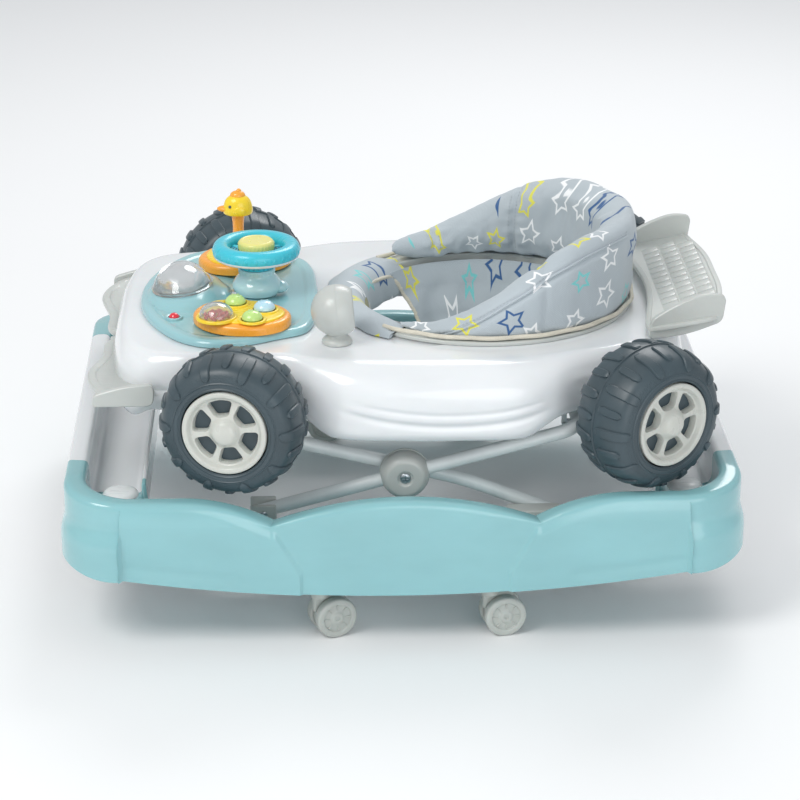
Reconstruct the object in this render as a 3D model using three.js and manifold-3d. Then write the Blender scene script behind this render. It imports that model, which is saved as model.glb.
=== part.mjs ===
// Baby walker and rocker shaped as a racing car, as an assembly of separate pieces.
// Millimetres, +Z up. The origin is on the floor under the middle of the base, the nose points
// along -X, and the walker's left side is -Y.
import * as THREE from 'three';
import { mergeVertices } from 'three/addons/utils/BufferGeometryUtils.js';
import Module from 'manifold-3d';

const wasm = await Module();
wasm.setup();

// ---------------------------------------------------------------------------------------------
// Driving dimensions
// ---------------------------------------------------------------------------------------------
const GAP = 0.3;                      // clearance between pieces that touch

const BASE = {
  frontX: 384, sideY: 317,            // outer faces of the ring at rim height
  cornerRadius: 64, innerRadius: 14,
  ringWidth: 90,                      // rim to rim across the gutter
  rimWidth: 25, innerRimWidth: 5, wall: 3.5,
  endRimZ: 184, endFloorZ: 135, endInnerZ: 158, endBottomZ: 100,
  sideFloorZ: 100, sideInnerZ: 112,
  humpZ: 182, endHumpZ: 185, notchZ: 152, notchX: 151, endHumpX: 258,
  rockerZ: 60, rockerRadius: 2000,    // lowest point and radius of the rocking edge
  blockX: 318, blockProud: 8, blockTopZ: 150, endProud: 5,
  seamY: 200,                         // where the coloured rails meet the white bumpers
};
const CASTER = { radius: 24, width: 13, gap: 10, trail: 15, stemRadius: 5, bossRadius: 15,
  hoodTopZ: 55, stemTopZ: 88, sideX: 97, sideY: 290, endX: 340 };
const STOP = { x: 320.5, y: 250, capRadius: 21, topZ: 167, stemRadius: 10, footZ: 86, footRadius: 13 };
const FRAME = { hubX: 3, hubZ: 164.5, lower: 169, upper: 207, angle: THREE.MathUtils.degToRad(15),
  tube: 8, bore: 6.8, outerY: 212, innerY: 195, bendX: 72, bendDrop: 9, pin: 4, bendRadius: 26 };
const HUB = { backRadius: 28.5, frontRadius: 21, backY: 204.2, frontY: 230 };
const WHEEL = { radius: 80, halfWidth: 43, rimRadius: 49.5, rimDepth: 14, bore: 7,
  centreY: 254, front: { x: -190, z: 252, toe: -14 }, rear: { x: 275, z: 252, toe: 34 } };
const DECK = { topZ: 303, wall: 4 };
const SEAT = { x: 105, halfX: 166, halfY: 160, ringWidth: 14, flange: 5 };
const DASH = { thickness: 9, hump: { x: -245, radii: [52, 66, 16] } };
const STEER = { x: -166, ringRadius: 42, tubeRadius: 10, topZ: 376, collarRadius: 21.5, baseRadius: 30 };
const MIRROR = { x: -68, y: -150, radius: 30, centreZ: 342, neck: 11, foot: 18, faceTurn: 84 };

const COLOUR = {
  white: '#edf0f2', aqua: '#9ccfd3', paleAqua: '#b0d9dd', grey: '#c9cdca', tyre: '#4d5c66',
  rim: '#c8cac3', cyan: '#4fcfe0', horn: '#ede58a', orange: '#ffb74a', yellow: '#ffd92e',
  green: '#c5e88a', blue: '#bfe3f3', red: '#e8283a', tube: '#cfd8da', caster: '#c8ccc8',
  fabric: '#c3cbd1', steel: '#b9c0c4', clear: '#e6eff2',
};

// ---------------------------------------------------------------------------------------------
// Shape helpers
// ---------------------------------------------------------------------------------------------
const TAU = Math.PI * 2;
const mix = (a, b, t) => a + (b - a) * t;
const clamp01 = (t) => Math.min(1, Math.max(0, t));
const smooth = (t) => clamp01(t) ** 2 * (3 - 2 * clamp01(t));
const range = (count) => [...Array(count).keys()];

/** A solid from a closed three.js geometry, with its faces turned outwards. */
function solid(geometry) {
  const bare = (geometry.index ? geometry : mergeVertices(geometry)).clone();
  for (const name of Object.keys(bare.attributes)) {
    if (name !== 'position') bare.deleteAttribute(name);
  }
  const merged = mergeVertices(bare, 1e-3);
  const vertProperties = Float32Array.from(merged.attributes.position.array);
  const corners = [];
  const index = merged.index.array;
  for (let i = 0; i < index.length; i += 3) {
    const [a, b, c] = [index[i], index[i + 1], index[i + 2]];
    if (a !== b && b !== c && c !== a) corners.push(a, b, c);
  }
  const point = (i) => new THREE.Vector3().fromArray(vertProperties, 3 * i);
  let volume = 0;
  for (let i = 0; i < corners.length; i += 3) {
    volume += point(corners[i]).dot(point(corners[i + 1]).cross(point(corners[i + 2])));
  }
  if (volume < 0) {
    for (let i = 0; i < corners.length; i += 3) {
      [corners[i + 1], corners[i + 2]] = [corners[i + 2], corners[i + 1]];
    }
  }
  const triVerts = Uint32Array.from(corners);
  return new wasm.Manifold(new wasm.Mesh({ numProp: 3, vertProperties, triVerts }));
}

/** A three.js geometry from a solid. */
function geometryOf(shape) {
  const mesh = shape.getMesh();
  const geometry = new THREE.BufferGeometry();
  geometry.setAttribute('position', new THREE.BufferAttribute(Float32Array.from(mesh.vertProperties), 3));
  geometry.setIndex(Array.from(mesh.triVerts));
  return geometry;
}

/** A closed body through a row of rings that have the same number of points. */
function loft(rings) {
  const count = rings[0].length;
  const positions = rings.flat().flat();
  const index = [];
  for (let i = 0; i < rings.length - 1; i += 1) {
    for (let j = 0; j < count; j += 1) {
      const k = (j + 1) % count;
      const [a, b, c, d] = [i * count + j, i * count + k, (i + 1) * count + k, (i + 1) * count + j];
      index.push(a, b, c, a, c, d);
    }
  }
  for (const [ring, first, turned] of [[rings[0], 0, true],
    [rings.at(-1), (rings.length - 1) * count, false]]) {
    for (const [a, b, c] of capTriangles(ring)) {
      index.push(...(turned ? [first + c, first + b, first + a] : [first + a, first + b, first + c]));
    }
  }
  const geometry = new THREE.BufferGeometry();
  geometry.setAttribute('position', new THREE.Float32BufferAttribute(positions, 3));
  geometry.setIndex(index);
  return solid(geometry);
}

/** The triangles that close one planar ring, wound as the ring is. */
function capTriangles(ring) {
  const points = ring.map((p) => new THREE.Vector3(...p));
  const normal = new THREE.Vector3();
  points.forEach((p, i) => normal.add(p.clone().cross(points[(i + 1) % points.length])));
  normal.normalize();
  const across = points[1].clone().sub(points[0]).normalize();
  const along = normal.clone().cross(across);
  const flat = points.map((p) => new THREE.Vector2(p.dot(across), p.dot(along)));
  return THREE.ShapeUtils.triangulateShape(flat, []);
}

/** A round bar or tube wall through points, with the same radius all along. */
function bar(points, radius, sides = 8) {
  const path = points.map((p) => new THREE.Vector3(...p));
  let side = null;
  const rings = path.map((p, i) => {
    const before = path[Math.max(i - 1, 0)];
    const after = path[Math.min(i + 1, path.length - 1)];
    const into = p.clone().sub(before).normalize();
    const out = after.clone().sub(p).normalize();
    const along = into.clone().add(out).normalize();
    if (!side) side = Math.abs(along.y) < 0.9 ? new THREE.Vector3(0, 1, 0) : new THREE.Vector3(0, 0, 1);
    side = side.clone().sub(along.clone().multiplyScalar(side.dot(along))).normalize();
    const up = along.clone().cross(side);
    return range(sides).map((j) => {
      const turn = (TAU * (j + 0.5)) / sides;
      return p.clone().addScaledVector(side, radius * Math.cos(turn))
        .addScaledVector(up, radius * Math.sin(turn)).toArray();
    });
  });
  return loft(rings);
}

/** A path with its inner corners rounded to a radius. */
function rounded(points, radius, steps = 3) {
  const path = points.map((p) => new THREE.Vector3(...p));
  const result = [points[0]];
  for (let i = 1; i < path.length - 1; i += 1) {
    const start = path[i].clone().add(path[i - 1].clone().sub(path[i]).setLength(radius));
    const end = path[i].clone().add(path[i + 1].clone().sub(path[i]).setLength(radius));
    const bend = new THREE.QuadraticBezierCurve3(start, path[i], end);
    result.push(...bend.getPoints(steps).map((p) => p.toArray()));
  }
  result.push(points.at(-1));
  return result;
}

/** A body of revolution about +Z from [radius, z] points; open ends are closed on the axis. */
function turned(profile, segments = 18) {
  const points = profile.map(([r, z]) => new THREE.Vector2(r, z));
  const geometry = new THREE.LatheGeometry(points, segments);
  geometry.rotateX(Math.PI / 2);
  return solid(geometry);
}

/** A rod about the Z axis. */
function rod(radius, low, high, segments = 14) {
  return turned([[0, low], [radius, low], [radius, high], [0, high]], segments);
}

/** A box from its lowest to its highest corner. */
function block(low, high) {
  const size = low.map((v, i) => high[i] - v);
  const geometry = new THREE.BoxGeometry(...size);
  geometry.translate(...low.map((v, i) => (v + high[i]) / 2));
  return solid(geometry);
}

/** An ellipsoid about a centre. */
function egg(centre, radii, segments = 16, rows = 8) {
  const geometry = new THREE.SphereGeometry(1, segments, rows);
  geometry.rotateX(Math.PI / 2);
  geometry.scale(...radii);
  geometry.translate(...centre);
  return solid(geometry);
}

/** A closed outline through hand-placed points, as evenly spaced [x, y] points. */
function outline(points, count) {
  const through = points.map(([x, y]) => new THREE.Vector3(x, y, 0));
  const curve = new THREE.CatmullRomCurve3(through, true, 'centripetal');
  return curve.getSpacedPoints(count).slice(0, count).map((p) => [p.x, p.y]);
}

/** The near half of an outline joined to its mirror image. */
const mirrored = (half) => [...half, ...half.slice().reverse().filter(([, y]) => Math.abs(y) > 1e-6)
  .map(([x, y]) => [x, -y])];

/** An outline moved inwards by a distance, towards its own middle. */
function inset(points, distance) {
  return points.map(([x, y], i) => {
    const [ax, ay] = points.at(i - 1);
    const [bx, by] = points[(i + 1) % points.length];
    const length = Math.hypot(bx - ax, by - ay);
    return [x - (distance * (by - ay)) / length, y + (distance * (bx - ax)) / length];
  });
}

/** A slab through levels of one outline: each level is [inset, z]. */
function stack(points, levels) {
  return loft(levels.map(([inwards, z]) => inset(points, inwards).map(([x, y]) => [x, y, z])));
}

/** A slab on edge: an [x, z] outline given a thickness across the walker about y. */
function upright(points, y, thickness) {
  return loft([-thickness / 2, thickness / 2].map((half) => points.map(([x, z]) => [x, y + half, z])));
}

/** An ellipse as an anticlockwise outline. */
const ellipse = (x, y, a, b, count) => range(count).map((i) => [x + a * Math.cos((TAU * i) / count),
  y + b * Math.sin((TAU * i) / count)]);

const move = (shape, x, y, z) => shape.translate([x, y, z]);
/** A shape made about +Z, turned so that +Z points along (sin yaw, -cos yaw, 0): outwards on the left. */
const faceLeft = (shape, yaw = 0) => shape.rotate([90, 0, 0]).rotate([0, 0, yaw]);
const mirrorY = (shape) => shape.mirror([0, 1, 0]);

// ---------------------------------------------------------------------------------------------
// The assembly
// ---------------------------------------------------------------------------------------------
const walker = new THREE.Group();
walker.name = 'baby_walker';

/** Adds one named piece with its colour and finish. */
function add(name, shape, colour, { roughness = 0.35, metalness = 0, opacity = 1 } = {}) {
  const material = new THREE.MeshStandardMaterial({ color: colour, roughness, metalness,
    transparent: opacity < 1, opacity });
  const mesh = new THREE.Mesh(geometryOf(shape), material);
  mesh.name = name;
  walker.add(mesh);
}

/** Adds a left piece and its mirror image on the right. */
function addPair(stem, shape, colour, finish) {
  add(`${stem}_left`, shape, colour, finish);
  add(`${stem}_right`, mirrorY(shape), colour, finish);
}

// --- Base ring -------------------------------------------------------------------------------
/** Height of the scalloped rim along a side. */
function rimZ(x) {
  const far = Math.abs(x);
  if (far < BASE.notchX) return mix(BASE.humpZ, BASE.notchZ, (far / BASE.notchX) ** 2);
  if (far < BASE.endHumpX) {
    const t = (BASE.endHumpX - far) / (BASE.endHumpX - BASE.notchX);
    return mix(BASE.endHumpZ, BASE.notchZ, t ** 2);
  }
  return BASE.endHumpZ;
}

/** Height of the rocking edge under a side. */
const rockerZ = (x) => BASE.rockerZ + BASE.rockerRadius - Math.sqrt(BASE.rockerRadius ** 2 - x * x);

/**
 * One section of the ring. The outer and inner points are in plan; end is 0 on a side and 1 on
 * the front or rear, and proud is how far the bumper block stands out at the bottom.
 */
function ringSection({ outer, inner, rim, bottom, end, proud }) {
  const floor = mix(BASE.sideFloorZ, BASE.endFloorZ, end);
  const inside = mix(BASE.sideInnerZ, BASE.endInnerZ, end);
  const low = floor - 20;
  const { rimWidth, ringWidth, innerRimWidth, wall } = BASE;
  const profile = [
    [-proud, bottom], [-proud, BASE.blockTopZ - 22], [0, BASE.blockTopZ - 6], [0, rim - 6], [6, rim],
    [rimWidth - 5, rim], [rimWidth, rim - 5], [rimWidth, floor + wall],
    [ringWidth - innerRimWidth, floor + wall], [ringWidth - innerRimWidth, inside],
    [ringWidth, inside], [ringWidth, low], [ringWidth - wall, low], [ringWidth - wall, floor],
    [rimWidth - wall, floor], [rimWidth - wall, rim - 8], [wall, rim - 8], [wall, BASE.blockTopZ - 8],
    [wall - proud, BASE.blockTopZ - 24], [wall - proud, bottom],
  ];
  return profile.map(([depth, z]) => {
    const t = depth / ringWidth;
    return [mix(outer[0], inner[0], t), mix(outer[1], inner[1], t), z];
  });
}

/** Sections of the left rail from the front seam round to the rear seam, front half mirrored. */
function railStations() {
  const innerX = BASE.frontX - BASE.ringWidth;
  const innerY = BASE.sideY - BASE.ringWidth;
  const { cornerRadius: R, innerRadius: r } = BASE;
  const half = [];
  const cornerY = BASE.sideY - R;
  for (const t of [0, 0.5]) {
    half.push({ outer: [-BASE.frontX, -mix(BASE.seamY + GAP, cornerY, t)],
      inner: [-innerX, -mix(BASE.seamY + GAP, innerY - r, t)],
      rim: BASE.endRimZ, bottom: BASE.endBottomZ, end: 1, proud: BASE.endProud });
  }
  const turns = 4;
  for (const i of range(turns + 1)) {
    const t = i / turns;
    const angle = (t * Math.PI) / 2;
    const [c, s] = [Math.cos(angle), Math.sin(angle)];
    half.push({ outer: [-(BASE.frontX - R) - R * c, -cornerY - R * s],
      inner: [-(innerX - r) - r * c, -(innerY - r) - r * s],
      rim: mix(BASE.endRimZ, BASE.endHumpZ, t), bottom: mix(BASE.endBottomZ, rockerZ(BASE.blockX), smooth(t)),
      end: 1 - smooth(t), proud: mix(BASE.endProud, BASE.blockProud, t) });
  }
  const side = (x, proud) => ({ outer: [x, -BASE.sideY], inner: [(x * (innerX - r)) / BASE.blockX, -innerY],
    rim: rimZ(x), bottom: rockerZ(x), end: 0, proud });
  half.push(side(-BASE.blockX, BASE.blockProud), side(-BASE.blockX + 3, 0));
  for (const x of [BASE.endHumpX, 215, 180, BASE.notchX, 110, 60]) half.push(side(-x, 0));
  const flip = (station) => ({ ...station, outer: [-station.outer[0], station.outer[1]],
    inner: [-station.inner[0], station.inner[1]] });
  return [...half, side(0, 0), ...half.slice().reverse().map(flip)];
}

const casterBoss = (x, y, floor) => move(rod(CASTER.bossRadius, CASTER.hoodTopZ + 1.5, floor + 1), x, y, 0);
const casterBore = (x, y) => move(rod(CASTER.stemRadius + GAP, 0, CASTER.stemTopZ + 1), x, y, 0);
const stopBore = (x, y) => move(rod(STOP.stemRadius + 0.5, BASE.rockerZ, STOP.topZ), x, y, 0);

function makeRail() {
  let rail = loft(railStations().map(ringSection));
  for (const x of [-CASTER.sideX, CASTER.sideX]) {
    rail = rail.add(casterBoss(x, -CASTER.sideY, BASE.sideFloorZ)).subtract(casterBore(x, -CASTER.sideY));
  }
  for (const x of [-STOP.x, STOP.x]) rail = rail.subtract(stopBore(x, -STOP.y));
  return rail;
}

function makeBumper() {
  const ends = [-BASE.seamY, -70, 70, BASE.seamY].map((y) => ({ outer: [-BASE.frontX, y],
    inner: [-(BASE.frontX - BASE.ringWidth), y], rim: BASE.endRimZ, bottom: BASE.endBottomZ, end: 1,
    proud: BASE.endProud }));
  return loft(ends.map(ringSection)).add(casterBoss(-CASTER.endX, 0, BASE.endFloorZ))
    .subtract(casterBore(-CASTER.endX, 0));
}

addPair('side_rail', makeRail(), COLOUR.aqua, { roughness: 0.2 });
const bumper = makeBumper();
add('front_bumper', bumper, COLOUR.white, { roughness: 0.2 });
add('rear_bumper', bumper.mirror([1, 0, 0]), COLOUR.white, { roughness: 0.2 });

// --- Rocker stops ----------------------------------------------------------------------------
const stop = turned([[0, STOP.footZ], [STOP.footRadius, STOP.footZ], [STOP.footRadius, STOP.footZ + 8],
  [STOP.stemRadius, STOP.footZ + 12], [STOP.stemRadius, STOP.topZ - 8],
  [STOP.capRadius, STOP.topZ - 5], [STOP.capRadius - 4, STOP.topZ - 1], [0, STOP.topZ]], 16);
for (const [end, side] of [[-1, -1], [-1, 1], [1, -1], [1, 1]]) {
  const name = `stop_${end < 0 ? 'front' : 'rear'}_${side < 0 ? 'left' : 'right'}`;
  add(name, move(stop, end * STOP.x, side * STOP.y, 0), COLOUR.white);
}

// --- Casters ---------------------------------------------------------------------------------
/** The swivelling body of a twin-wheel caster, trailing along +X, about its stem. */
function casterFork() {
  const plate = faceLeft(rod(CASTER.radius - 3, -CASTER.gap / 2 + GAP, CASTER.gap / 2 - GAP, 12))
    .translate([CASTER.trail, 0, CASTER.radius]);
  const halfPlate = CASTER.gap / 2 - GAP;
  const hood = block([-9, -halfPlate, 30], [CASTER.trail + 12, halfPlate, CASTER.hoodTopZ - 4]);
  const collar = rod(11, CASTER.hoodTopZ - 6, CASTER.hoodTopZ, 10);
  const stem = rod(CASTER.stemRadius, CASTER.hoodTopZ - 8, CASTER.stemTopZ, 10);
  const bore = faceLeft(rod(3 + GAP * 2, -20, 20, 8)).translate([CASTER.trail, 0, CASTER.radius]);
  return plate.add(hood).add(collar).add(stem).subtract(bore);
}

/** The two wheels of a caster on their axle. */
function casterWheels() {
  const near = CASTER.gap / 2;
  const far = near + CASTER.width;
  const { radius } = CASTER;
  const disc = [[0, near], [radius, near + 1], [radius, far - 3], [radius - 3, far], [0, far]];
  const wheel = turned(disc, 16);
  const pair = wheel.add(wheel.mirror([0, 0, 1])).add(rod(3, -near - 1, near + 1, 8));
  return faceLeft(pair).translate([CASTER.trail, 0, CASTER.radius]);
}

const fork = casterFork();
const casterPair = casterWheels();
const casters = [
  ['left_front', -CASTER.sideX, -CASTER.sideY, 22], ['left_rear', CASTER.sideX, -CASTER.sideY, 12],
  ['right_front', -CASTER.sideX, CASTER.sideY, -10], ['right_rear', CASTER.sideX, CASTER.sideY, 15],
  ['front', -CASTER.endX, 0, 8], ['rear', CASTER.endX, 0, -14],
];
for (const [place, x, y, yaw] of casters) {
  add(`caster_${place}_fork`, move(fork.rotate([0, 0, yaw]), x, y, 0), COLOUR.caster);
  add(`caster_${place}_wheels`, move(casterPair.rotate([0, 0, yaw]), x, y, 0), COLOUR.caster);
}

// --- Scissor frame ---------------------------------------------------------------------------
const reach = { lowerX: FRAME.lower * Math.cos(FRAME.angle), lowerZ: FRAME.lower * Math.sin(FRAME.angle),
  upperX: FRAME.upper * Math.cos(FRAME.angle), upperZ: FRAME.upper * Math.sin(FRAME.angle) };
const pivotZ = FRAME.hubZ - reach.lowerZ;
const channelZ = FRAME.hubZ + reach.upperZ;
const frontPivotX = FRAME.hubX - reach.lowerX;
const rearSlideX = FRAME.hubX + reach.lowerX;
const rearPivotX = FRAME.hubX + reach.upperX;
const frontSlideX = FRAME.hubX - reach.upperX;

/** A U-shaped tube: two legs and the cross tube that joins them, from one half of its route. */
function uFrame(leg) {
  const route = rounded([...leg, ...leg.slice().reverse().map(([x, y, z]) => [x, -y, z])], FRAME.bendRadius);
  const beyond = (a, b) => a.map((v, i) => v + (v - b[i]) * 0.2);
  const boreRoute = [beyond(route[0], route[1]), ...route.slice(1, -1), beyond(route.at(-1), route.at(-2))];
  return bar(route, FRAME.tube).subtract(bar(boreRoute, FRAME.bore));
}
/** A rod across the walker at a place in the XZ plane, from a low to a high distance to the left. */
function crossRod(x, z, low, high, radius, sides = 10) {
  return faceLeft(rod(radius, low, high, sides)).translate([x, 0, z]);
}
const pinHole = (x, z) => crossRod(x, z, -260, 260, FRAME.pin + GAP);
const outerFrame = uFrame([[frontPivotX - 7, -FRAME.outerY, pivotZ - 2], [rearPivotX, -FRAME.outerY, channelZ]])
  .subtract(pinHole(frontPivotX, pivotZ)).subtract(pinHole(FRAME.hubX, FRAME.hubZ));
const innerFrame = uFrame([[rearSlideX + 4, -FRAME.innerY, pivotZ - FRAME.bendDrop - 2],
  [FRAME.bendX, -FRAME.innerY, FRAME.hubZ - (FRAME.bendX - FRAME.hubX) * 0.22],
  [frontSlideX, -FRAME.innerY, channelZ]]).subtract(pinHole(FRAME.hubX, FRAME.hubZ));
const steel = { roughness: 0.4, metalness: 0.2 };
add('outer_frame', outerFrame, COLOUR.tube, steel);
add('inner_frame', innerFrame, COLOUR.tube, steel);

const hubProfile = [[0, HUB.backY], [HUB.backRadius, HUB.backY], [HUB.backRadius, HUB.backY + 12],
  [HUB.frontRadius + 4, HUB.frontY - 4], [HUB.frontRadius, HUB.frontY], [0, HUB.frontY]];
const outerLeg = bar([[frontPivotX, -FRAME.outerY, pivotZ], [rearPivotX, -FRAME.outerY, channelZ]],
  FRAME.tube + GAP * 1.5, 10);
const hubCover = faceLeft(turned(hubProfile, 20)).translate([FRAME.hubX, 0, FRAME.hubZ])
  .subtract(outerLeg).subtract(pinHole(FRAME.hubX, FRAME.hubZ));
addPair('hub_cover', hubCover, COLOUR.grey);
const crossPin = crossRod(FRAME.hubX, FRAME.hubZ, FRAME.innerY - 11, HUB.frontY + 1.5, FRAME.pin);
addPair('cross_pin', crossPin, COLOUR.steel, { roughness: 0.3, metalness: 1 });

// --- Lower brackets on the base ----------------------------------------------------------------
const wallY = BASE.sideY - BASE.ringWidth;
const bracketLowZ = BASE.sideFloorZ - 18;
const forkGap = FRAME.tube + 0.6;
const pivotBracket = block([frontPivotX - 15, -wallY + GAP, bracketLowZ],
  [frontPivotX + 15, -wallY + 30, pivotZ + 12])
  .subtract(block([frontPivotX - 16, -FRAME.outerY - forkGap, pivotZ - 12],
    [frontPivotX + 16, -FRAME.outerY + forkGap, 200]))
  .add(crossRod(frontPivotX, pivotZ, FRAME.outerY - 11, FRAME.outerY + 11, FRAME.pin));
addPair('pivot_bracket', pivotBracket, COLOUR.grey);

const slideZ = pivotZ - FRAME.bendDrop;
const slideX = [rearSlideX - 46, rearSlideX + 17];
const slideBracket = block([slideX[0], -wallY + GAP, bracketLowZ], [slideX[1], -FRAME.innerY - 9, slideZ + 9])
  .add(block([slideX[0], -FRAME.innerY - 10, bracketLowZ], [slideX[1], -FRAME.innerY + 11, slideZ - 10]));
addPair('slide_bracket', slideBracket, COLOUR.grey);

// --- Toy wheels ------------------------------------------------------------------------------
function makeTyre() {
  const { radius: R, halfWidth: w, rimRadius, rimDepth, bore } = WHEEL;
  const profile = [[bore + GAP, -w + 1], [58, -w], [R - 8, -w + 11], [R, -w + 28], [R, w - 28],
    [R - 8, w - 11], [58, w], [rimRadius + 1, w - 2], [rimRadius + 1, w - rimDepth],
    [bore + GAP, w - rimDepth], [bore + GAP, -w + 1]];
  return turned(profile, 24);
}

function makeRim() {
  const { rimRadius: R, halfWidth: w, rimDepth, bore } = WHEEL;
  const back = w - rimDepth + GAP;
  const dish = turned([[bore + GAP, back], [R, back], [R, w], [R - 6, w], [R - 9, w - 7], [16, w - 6], [12, w + 3],
    [0, w + 6], [0, back + 7], [bore + GAP, back + 7], [bore + GAP, back]], 18);
  const spokes = 6;
  const halfWindow = TAU / spokes / 2;
  const [windowIn, windowOut] = [18, R - 11];
  const [spokeIn, spokeOut] = [6.9, 9.7];               // half widths of a spoke at its two ends
  const window = [[windowIn, spokeIn - windowIn * halfWindow], [windowOut, spokeOut - windowOut * halfWindow],
    [windowOut, windowOut * halfWindow - spokeOut], [windowIn, windowIn * halfWindow - spokeIn]]
    .map(([r, arc]) => [r * Math.cos(arc / r), r * Math.sin(arc / r)]);
  return range(spokes).reduce((body, i) => body
    .subtract(stack(window, [[0, back + 3], [0, w + 9]]).rotate([0, 0, (360 * i) / spokes])), dish);
}

const tyre = makeTyre();
const rim = makeRim();
const placeWheel = (shape, place) => faceLeft(shape, place.toe).translate([place.x, -WHEEL.centreY, place.z]);
for (const [end, place] of [['front', WHEEL.front], ['rear', WHEEL.rear]]) {
  addPair(`tyre_${end}`, placeWheel(tyre, place), COLOUR.tyre, { roughness: 0.5 });
  addPair(`rim_${end}`, placeWheel(rim, place), COLOUR.rim);
}

// --- Body shell ------------------------------------------------------------------------------
const SHELL_POINTS = 36;
const waistHalf = [[-335, 0], [-333, -90], [-322, -150], [-300, -180], [-262, -191], [-200, -193], [-135, -196],
  [-100, -222], [-66, -242], [0, -250], [70, -251], [130, -248], [172, -232], [205, -208], [250, -188], [300, -160],
  [328, -128], [335, -60], [336, 0]];
const deckHalf = [[-316, 0], [-314, -85], [-303, -138], [-284, -164], [-250, -176], [-200, -179], [-140, -182],
  [-108, -192], [-70, -203], [0, -209], [70, -210], [130, -206], [168, -196], [200, -184], [244, -170], [290, -146],
  [314, -118], [320, -56], [320, 0]];
const waist = outline(mirrored(waistHalf), SHELL_POINTS);
const deck = outline(mirrored(deckHalf), SHELL_POINTS);

/** How low the shell's edge hangs at a place along its length. */
function skirtZ(x) {
  const pods = smooth((x + 125) / 45) * smooth((185 - x) / 50);
  const nose = smooth((-285 - x) / 30);
  return mix(mix(236, 217, pods), 222, nose);
}

/** One level of the shell: blend 0 is the deck's outline and 1 the waist's. */
const shellRing = (blend, z, inwards) => {
  const ring = deck.map(([x, y], i) => [mix(x, waist[i][0], blend), mix(y, waist[i][1], blend)]);
  return inset(ring, inwards).map(([x, y]) => [x, y, typeof z === 'function' ? z(x) : z]);
};
const shellLoft = (inwards, top, foot = []) => loft([...foot,
  shellRing(0.9, skirtZ, inwards + 4), shellRing(1, (x) => skirtZ(x) + 14, inwards),
  shellRing(1, 264, inwards), shellRing(0.72, 286, inwards), shellRing(0.3, 298, inwards),
  shellRing(0, top, inwards)]);
const cavity = (inwards, top) => shellLoft(inwards, top, [shellRing(0.9, 150, inwards + 4)]);

const stub = faceLeft(rod(WHEEL.bore, -60, WHEEL.halfWidth - WHEEL.rimDepth + 6, 12));
const horn = faceLeft(rod(16, -92, -WHEEL.halfWidth - 1, 12));
const cheekY = 168;                    // plates under the deck that carry the scissor's upper tubes
const seatOutline = (grow, count = 32) => ellipse(SEAT.x, 0, SEAT.halfX + grow, SEAT.halfY + grow, count);

function makeShell() {
  let shell = shellLoft(0, DECK.topZ).subtract(cavity(DECK.wall, DECK.topZ - DECK.wall));
  for (const place of [WHEEL.front, WHEEL.rear]) {
    const spindle = stub.add(horn).rotate([0, 0, place.toe]).translate([place.x, -WHEEL.centreY, place.z]);
    shell = shell.add(spindle).add(mirrorY(spindle));
  }
  const cheek = (lowX, highX) => block([lowX, -cheekY, channelZ - 16], [highX, -cheekY + 8, DECK.topZ - 2]);
  const rearCheek = cheek(rearPivotX - 16, rearPivotX + 16)
    .subtract(crossRod(rearPivotX, channelZ, -300, 300, FRAME.tube + GAP * 2, 18));
  const slot = block([frontSlideX - 9, -300, channelZ - 9], [frontSlideX + 52, 300, channelZ + 9]);
  const frontCheek = cheek(frontSlideX - 18, frontSlideX + 60).subtract(slot);
  for (const piece of [rearCheek, frontCheek]) shell = shell.add(piece).add(mirrorY(piece));
  return shell.subtract(stack(seatOutline(0), [[0, 200], [0, 320]]));
}
add('body_shell', makeShell(), COLOUR.white, { roughness: 0.2 });

// --- Seat ------------------------------------------------------------------------------------
const seatRing = stack(seatOutline(12), [[0, DECK.topZ + GAP], [0, DECK.topZ + SEAT.flange]])
  .add(stack(seatOutline(-GAP), [[0, DECK.topZ - 18], [0, DECK.topZ + SEAT.flange]]))
  .subtract(stack(seatOutline(-SEAT.ringWidth), [[0, DECK.topZ - 30], [0, DECK.topZ + 30]]));
add('seat_ring', seatRing, COLOUR.grey);

/** The hanging seat: levels are [z, centre x, half length, half width]. */
const bagLevels = [[302, 104, 148, 142], [275, 102, 138, 132], [245, 94, 112, 112], [215, 84, 90, 92],
  [185, 76, 66, 70], [164, 70, 36, 40]];
const bagLoft = (thin, lift) => loft(bagLevels.slice().reverse()
  .map(([z, x, a, b]) => ellipse(x, 0, a - thin, b - thin, 22).map(([px, py]) => [px, py, z + lift])));
function makeBag() {
  const cloth = 5;
  let bag = bagLoft(0, 0).subtract(bagLoft(cloth, cloth));
  for (const side of [-1, 1]) {
    const leg = rod(42, 0, 170, 20).rotate([0, -68, 0]).rotate([0, 0, -side * 34])
      .translate([78, side * 4, 214]);
    bag = bag.subtract(leg);
  }
  return bag;
}
add('seat_bag', makeBag(), COLOUR.fabric, { roughness: 0.9 });

/** The padded back: a wall that wraps round the seat, highest at the rear. */
function makeCushion() {
  const steps = 22;
  const thick = 30;
  const reachAngle = 2.36;
  const bottom = DECK.topZ + SEAT.flange + 1;
  const rings = range(steps + 1).map((i) => {
    const angle = mix(-reachAngle, reachAngle, i / steps);
    const back = smooth((Math.cos(angle) + 0.55) / 1.35);
    const left = angle < 0 ? 1 : 0;
    const crest = mix(mix(348, 326, left), 426, back);
    const lean = (crest - bottom) * 0.08;
    const at = (depth, z) => {
      const grow = -depth + lean * ((z - bottom) / (crest - bottom));
      return [SEAT.x + (SEAT.halfX + 6 + grow) * Math.cos(angle), (SEAT.halfY + grow) * Math.sin(angle), z];
    };
    return [at(0, bottom), at(thick, bottom), at(thick + 4, mix(bottom, crest, 0.45)), at(thick - 2, crest - 8),
      at(thick / 2, crest), at(2, crest - 8), at(-4, mix(bottom, crest, 0.45))];
  });
  return loft(rings);
}
add('back_cushion', makeCushion(), COLOUR.fabric, { roughness: 0.9 });

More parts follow.
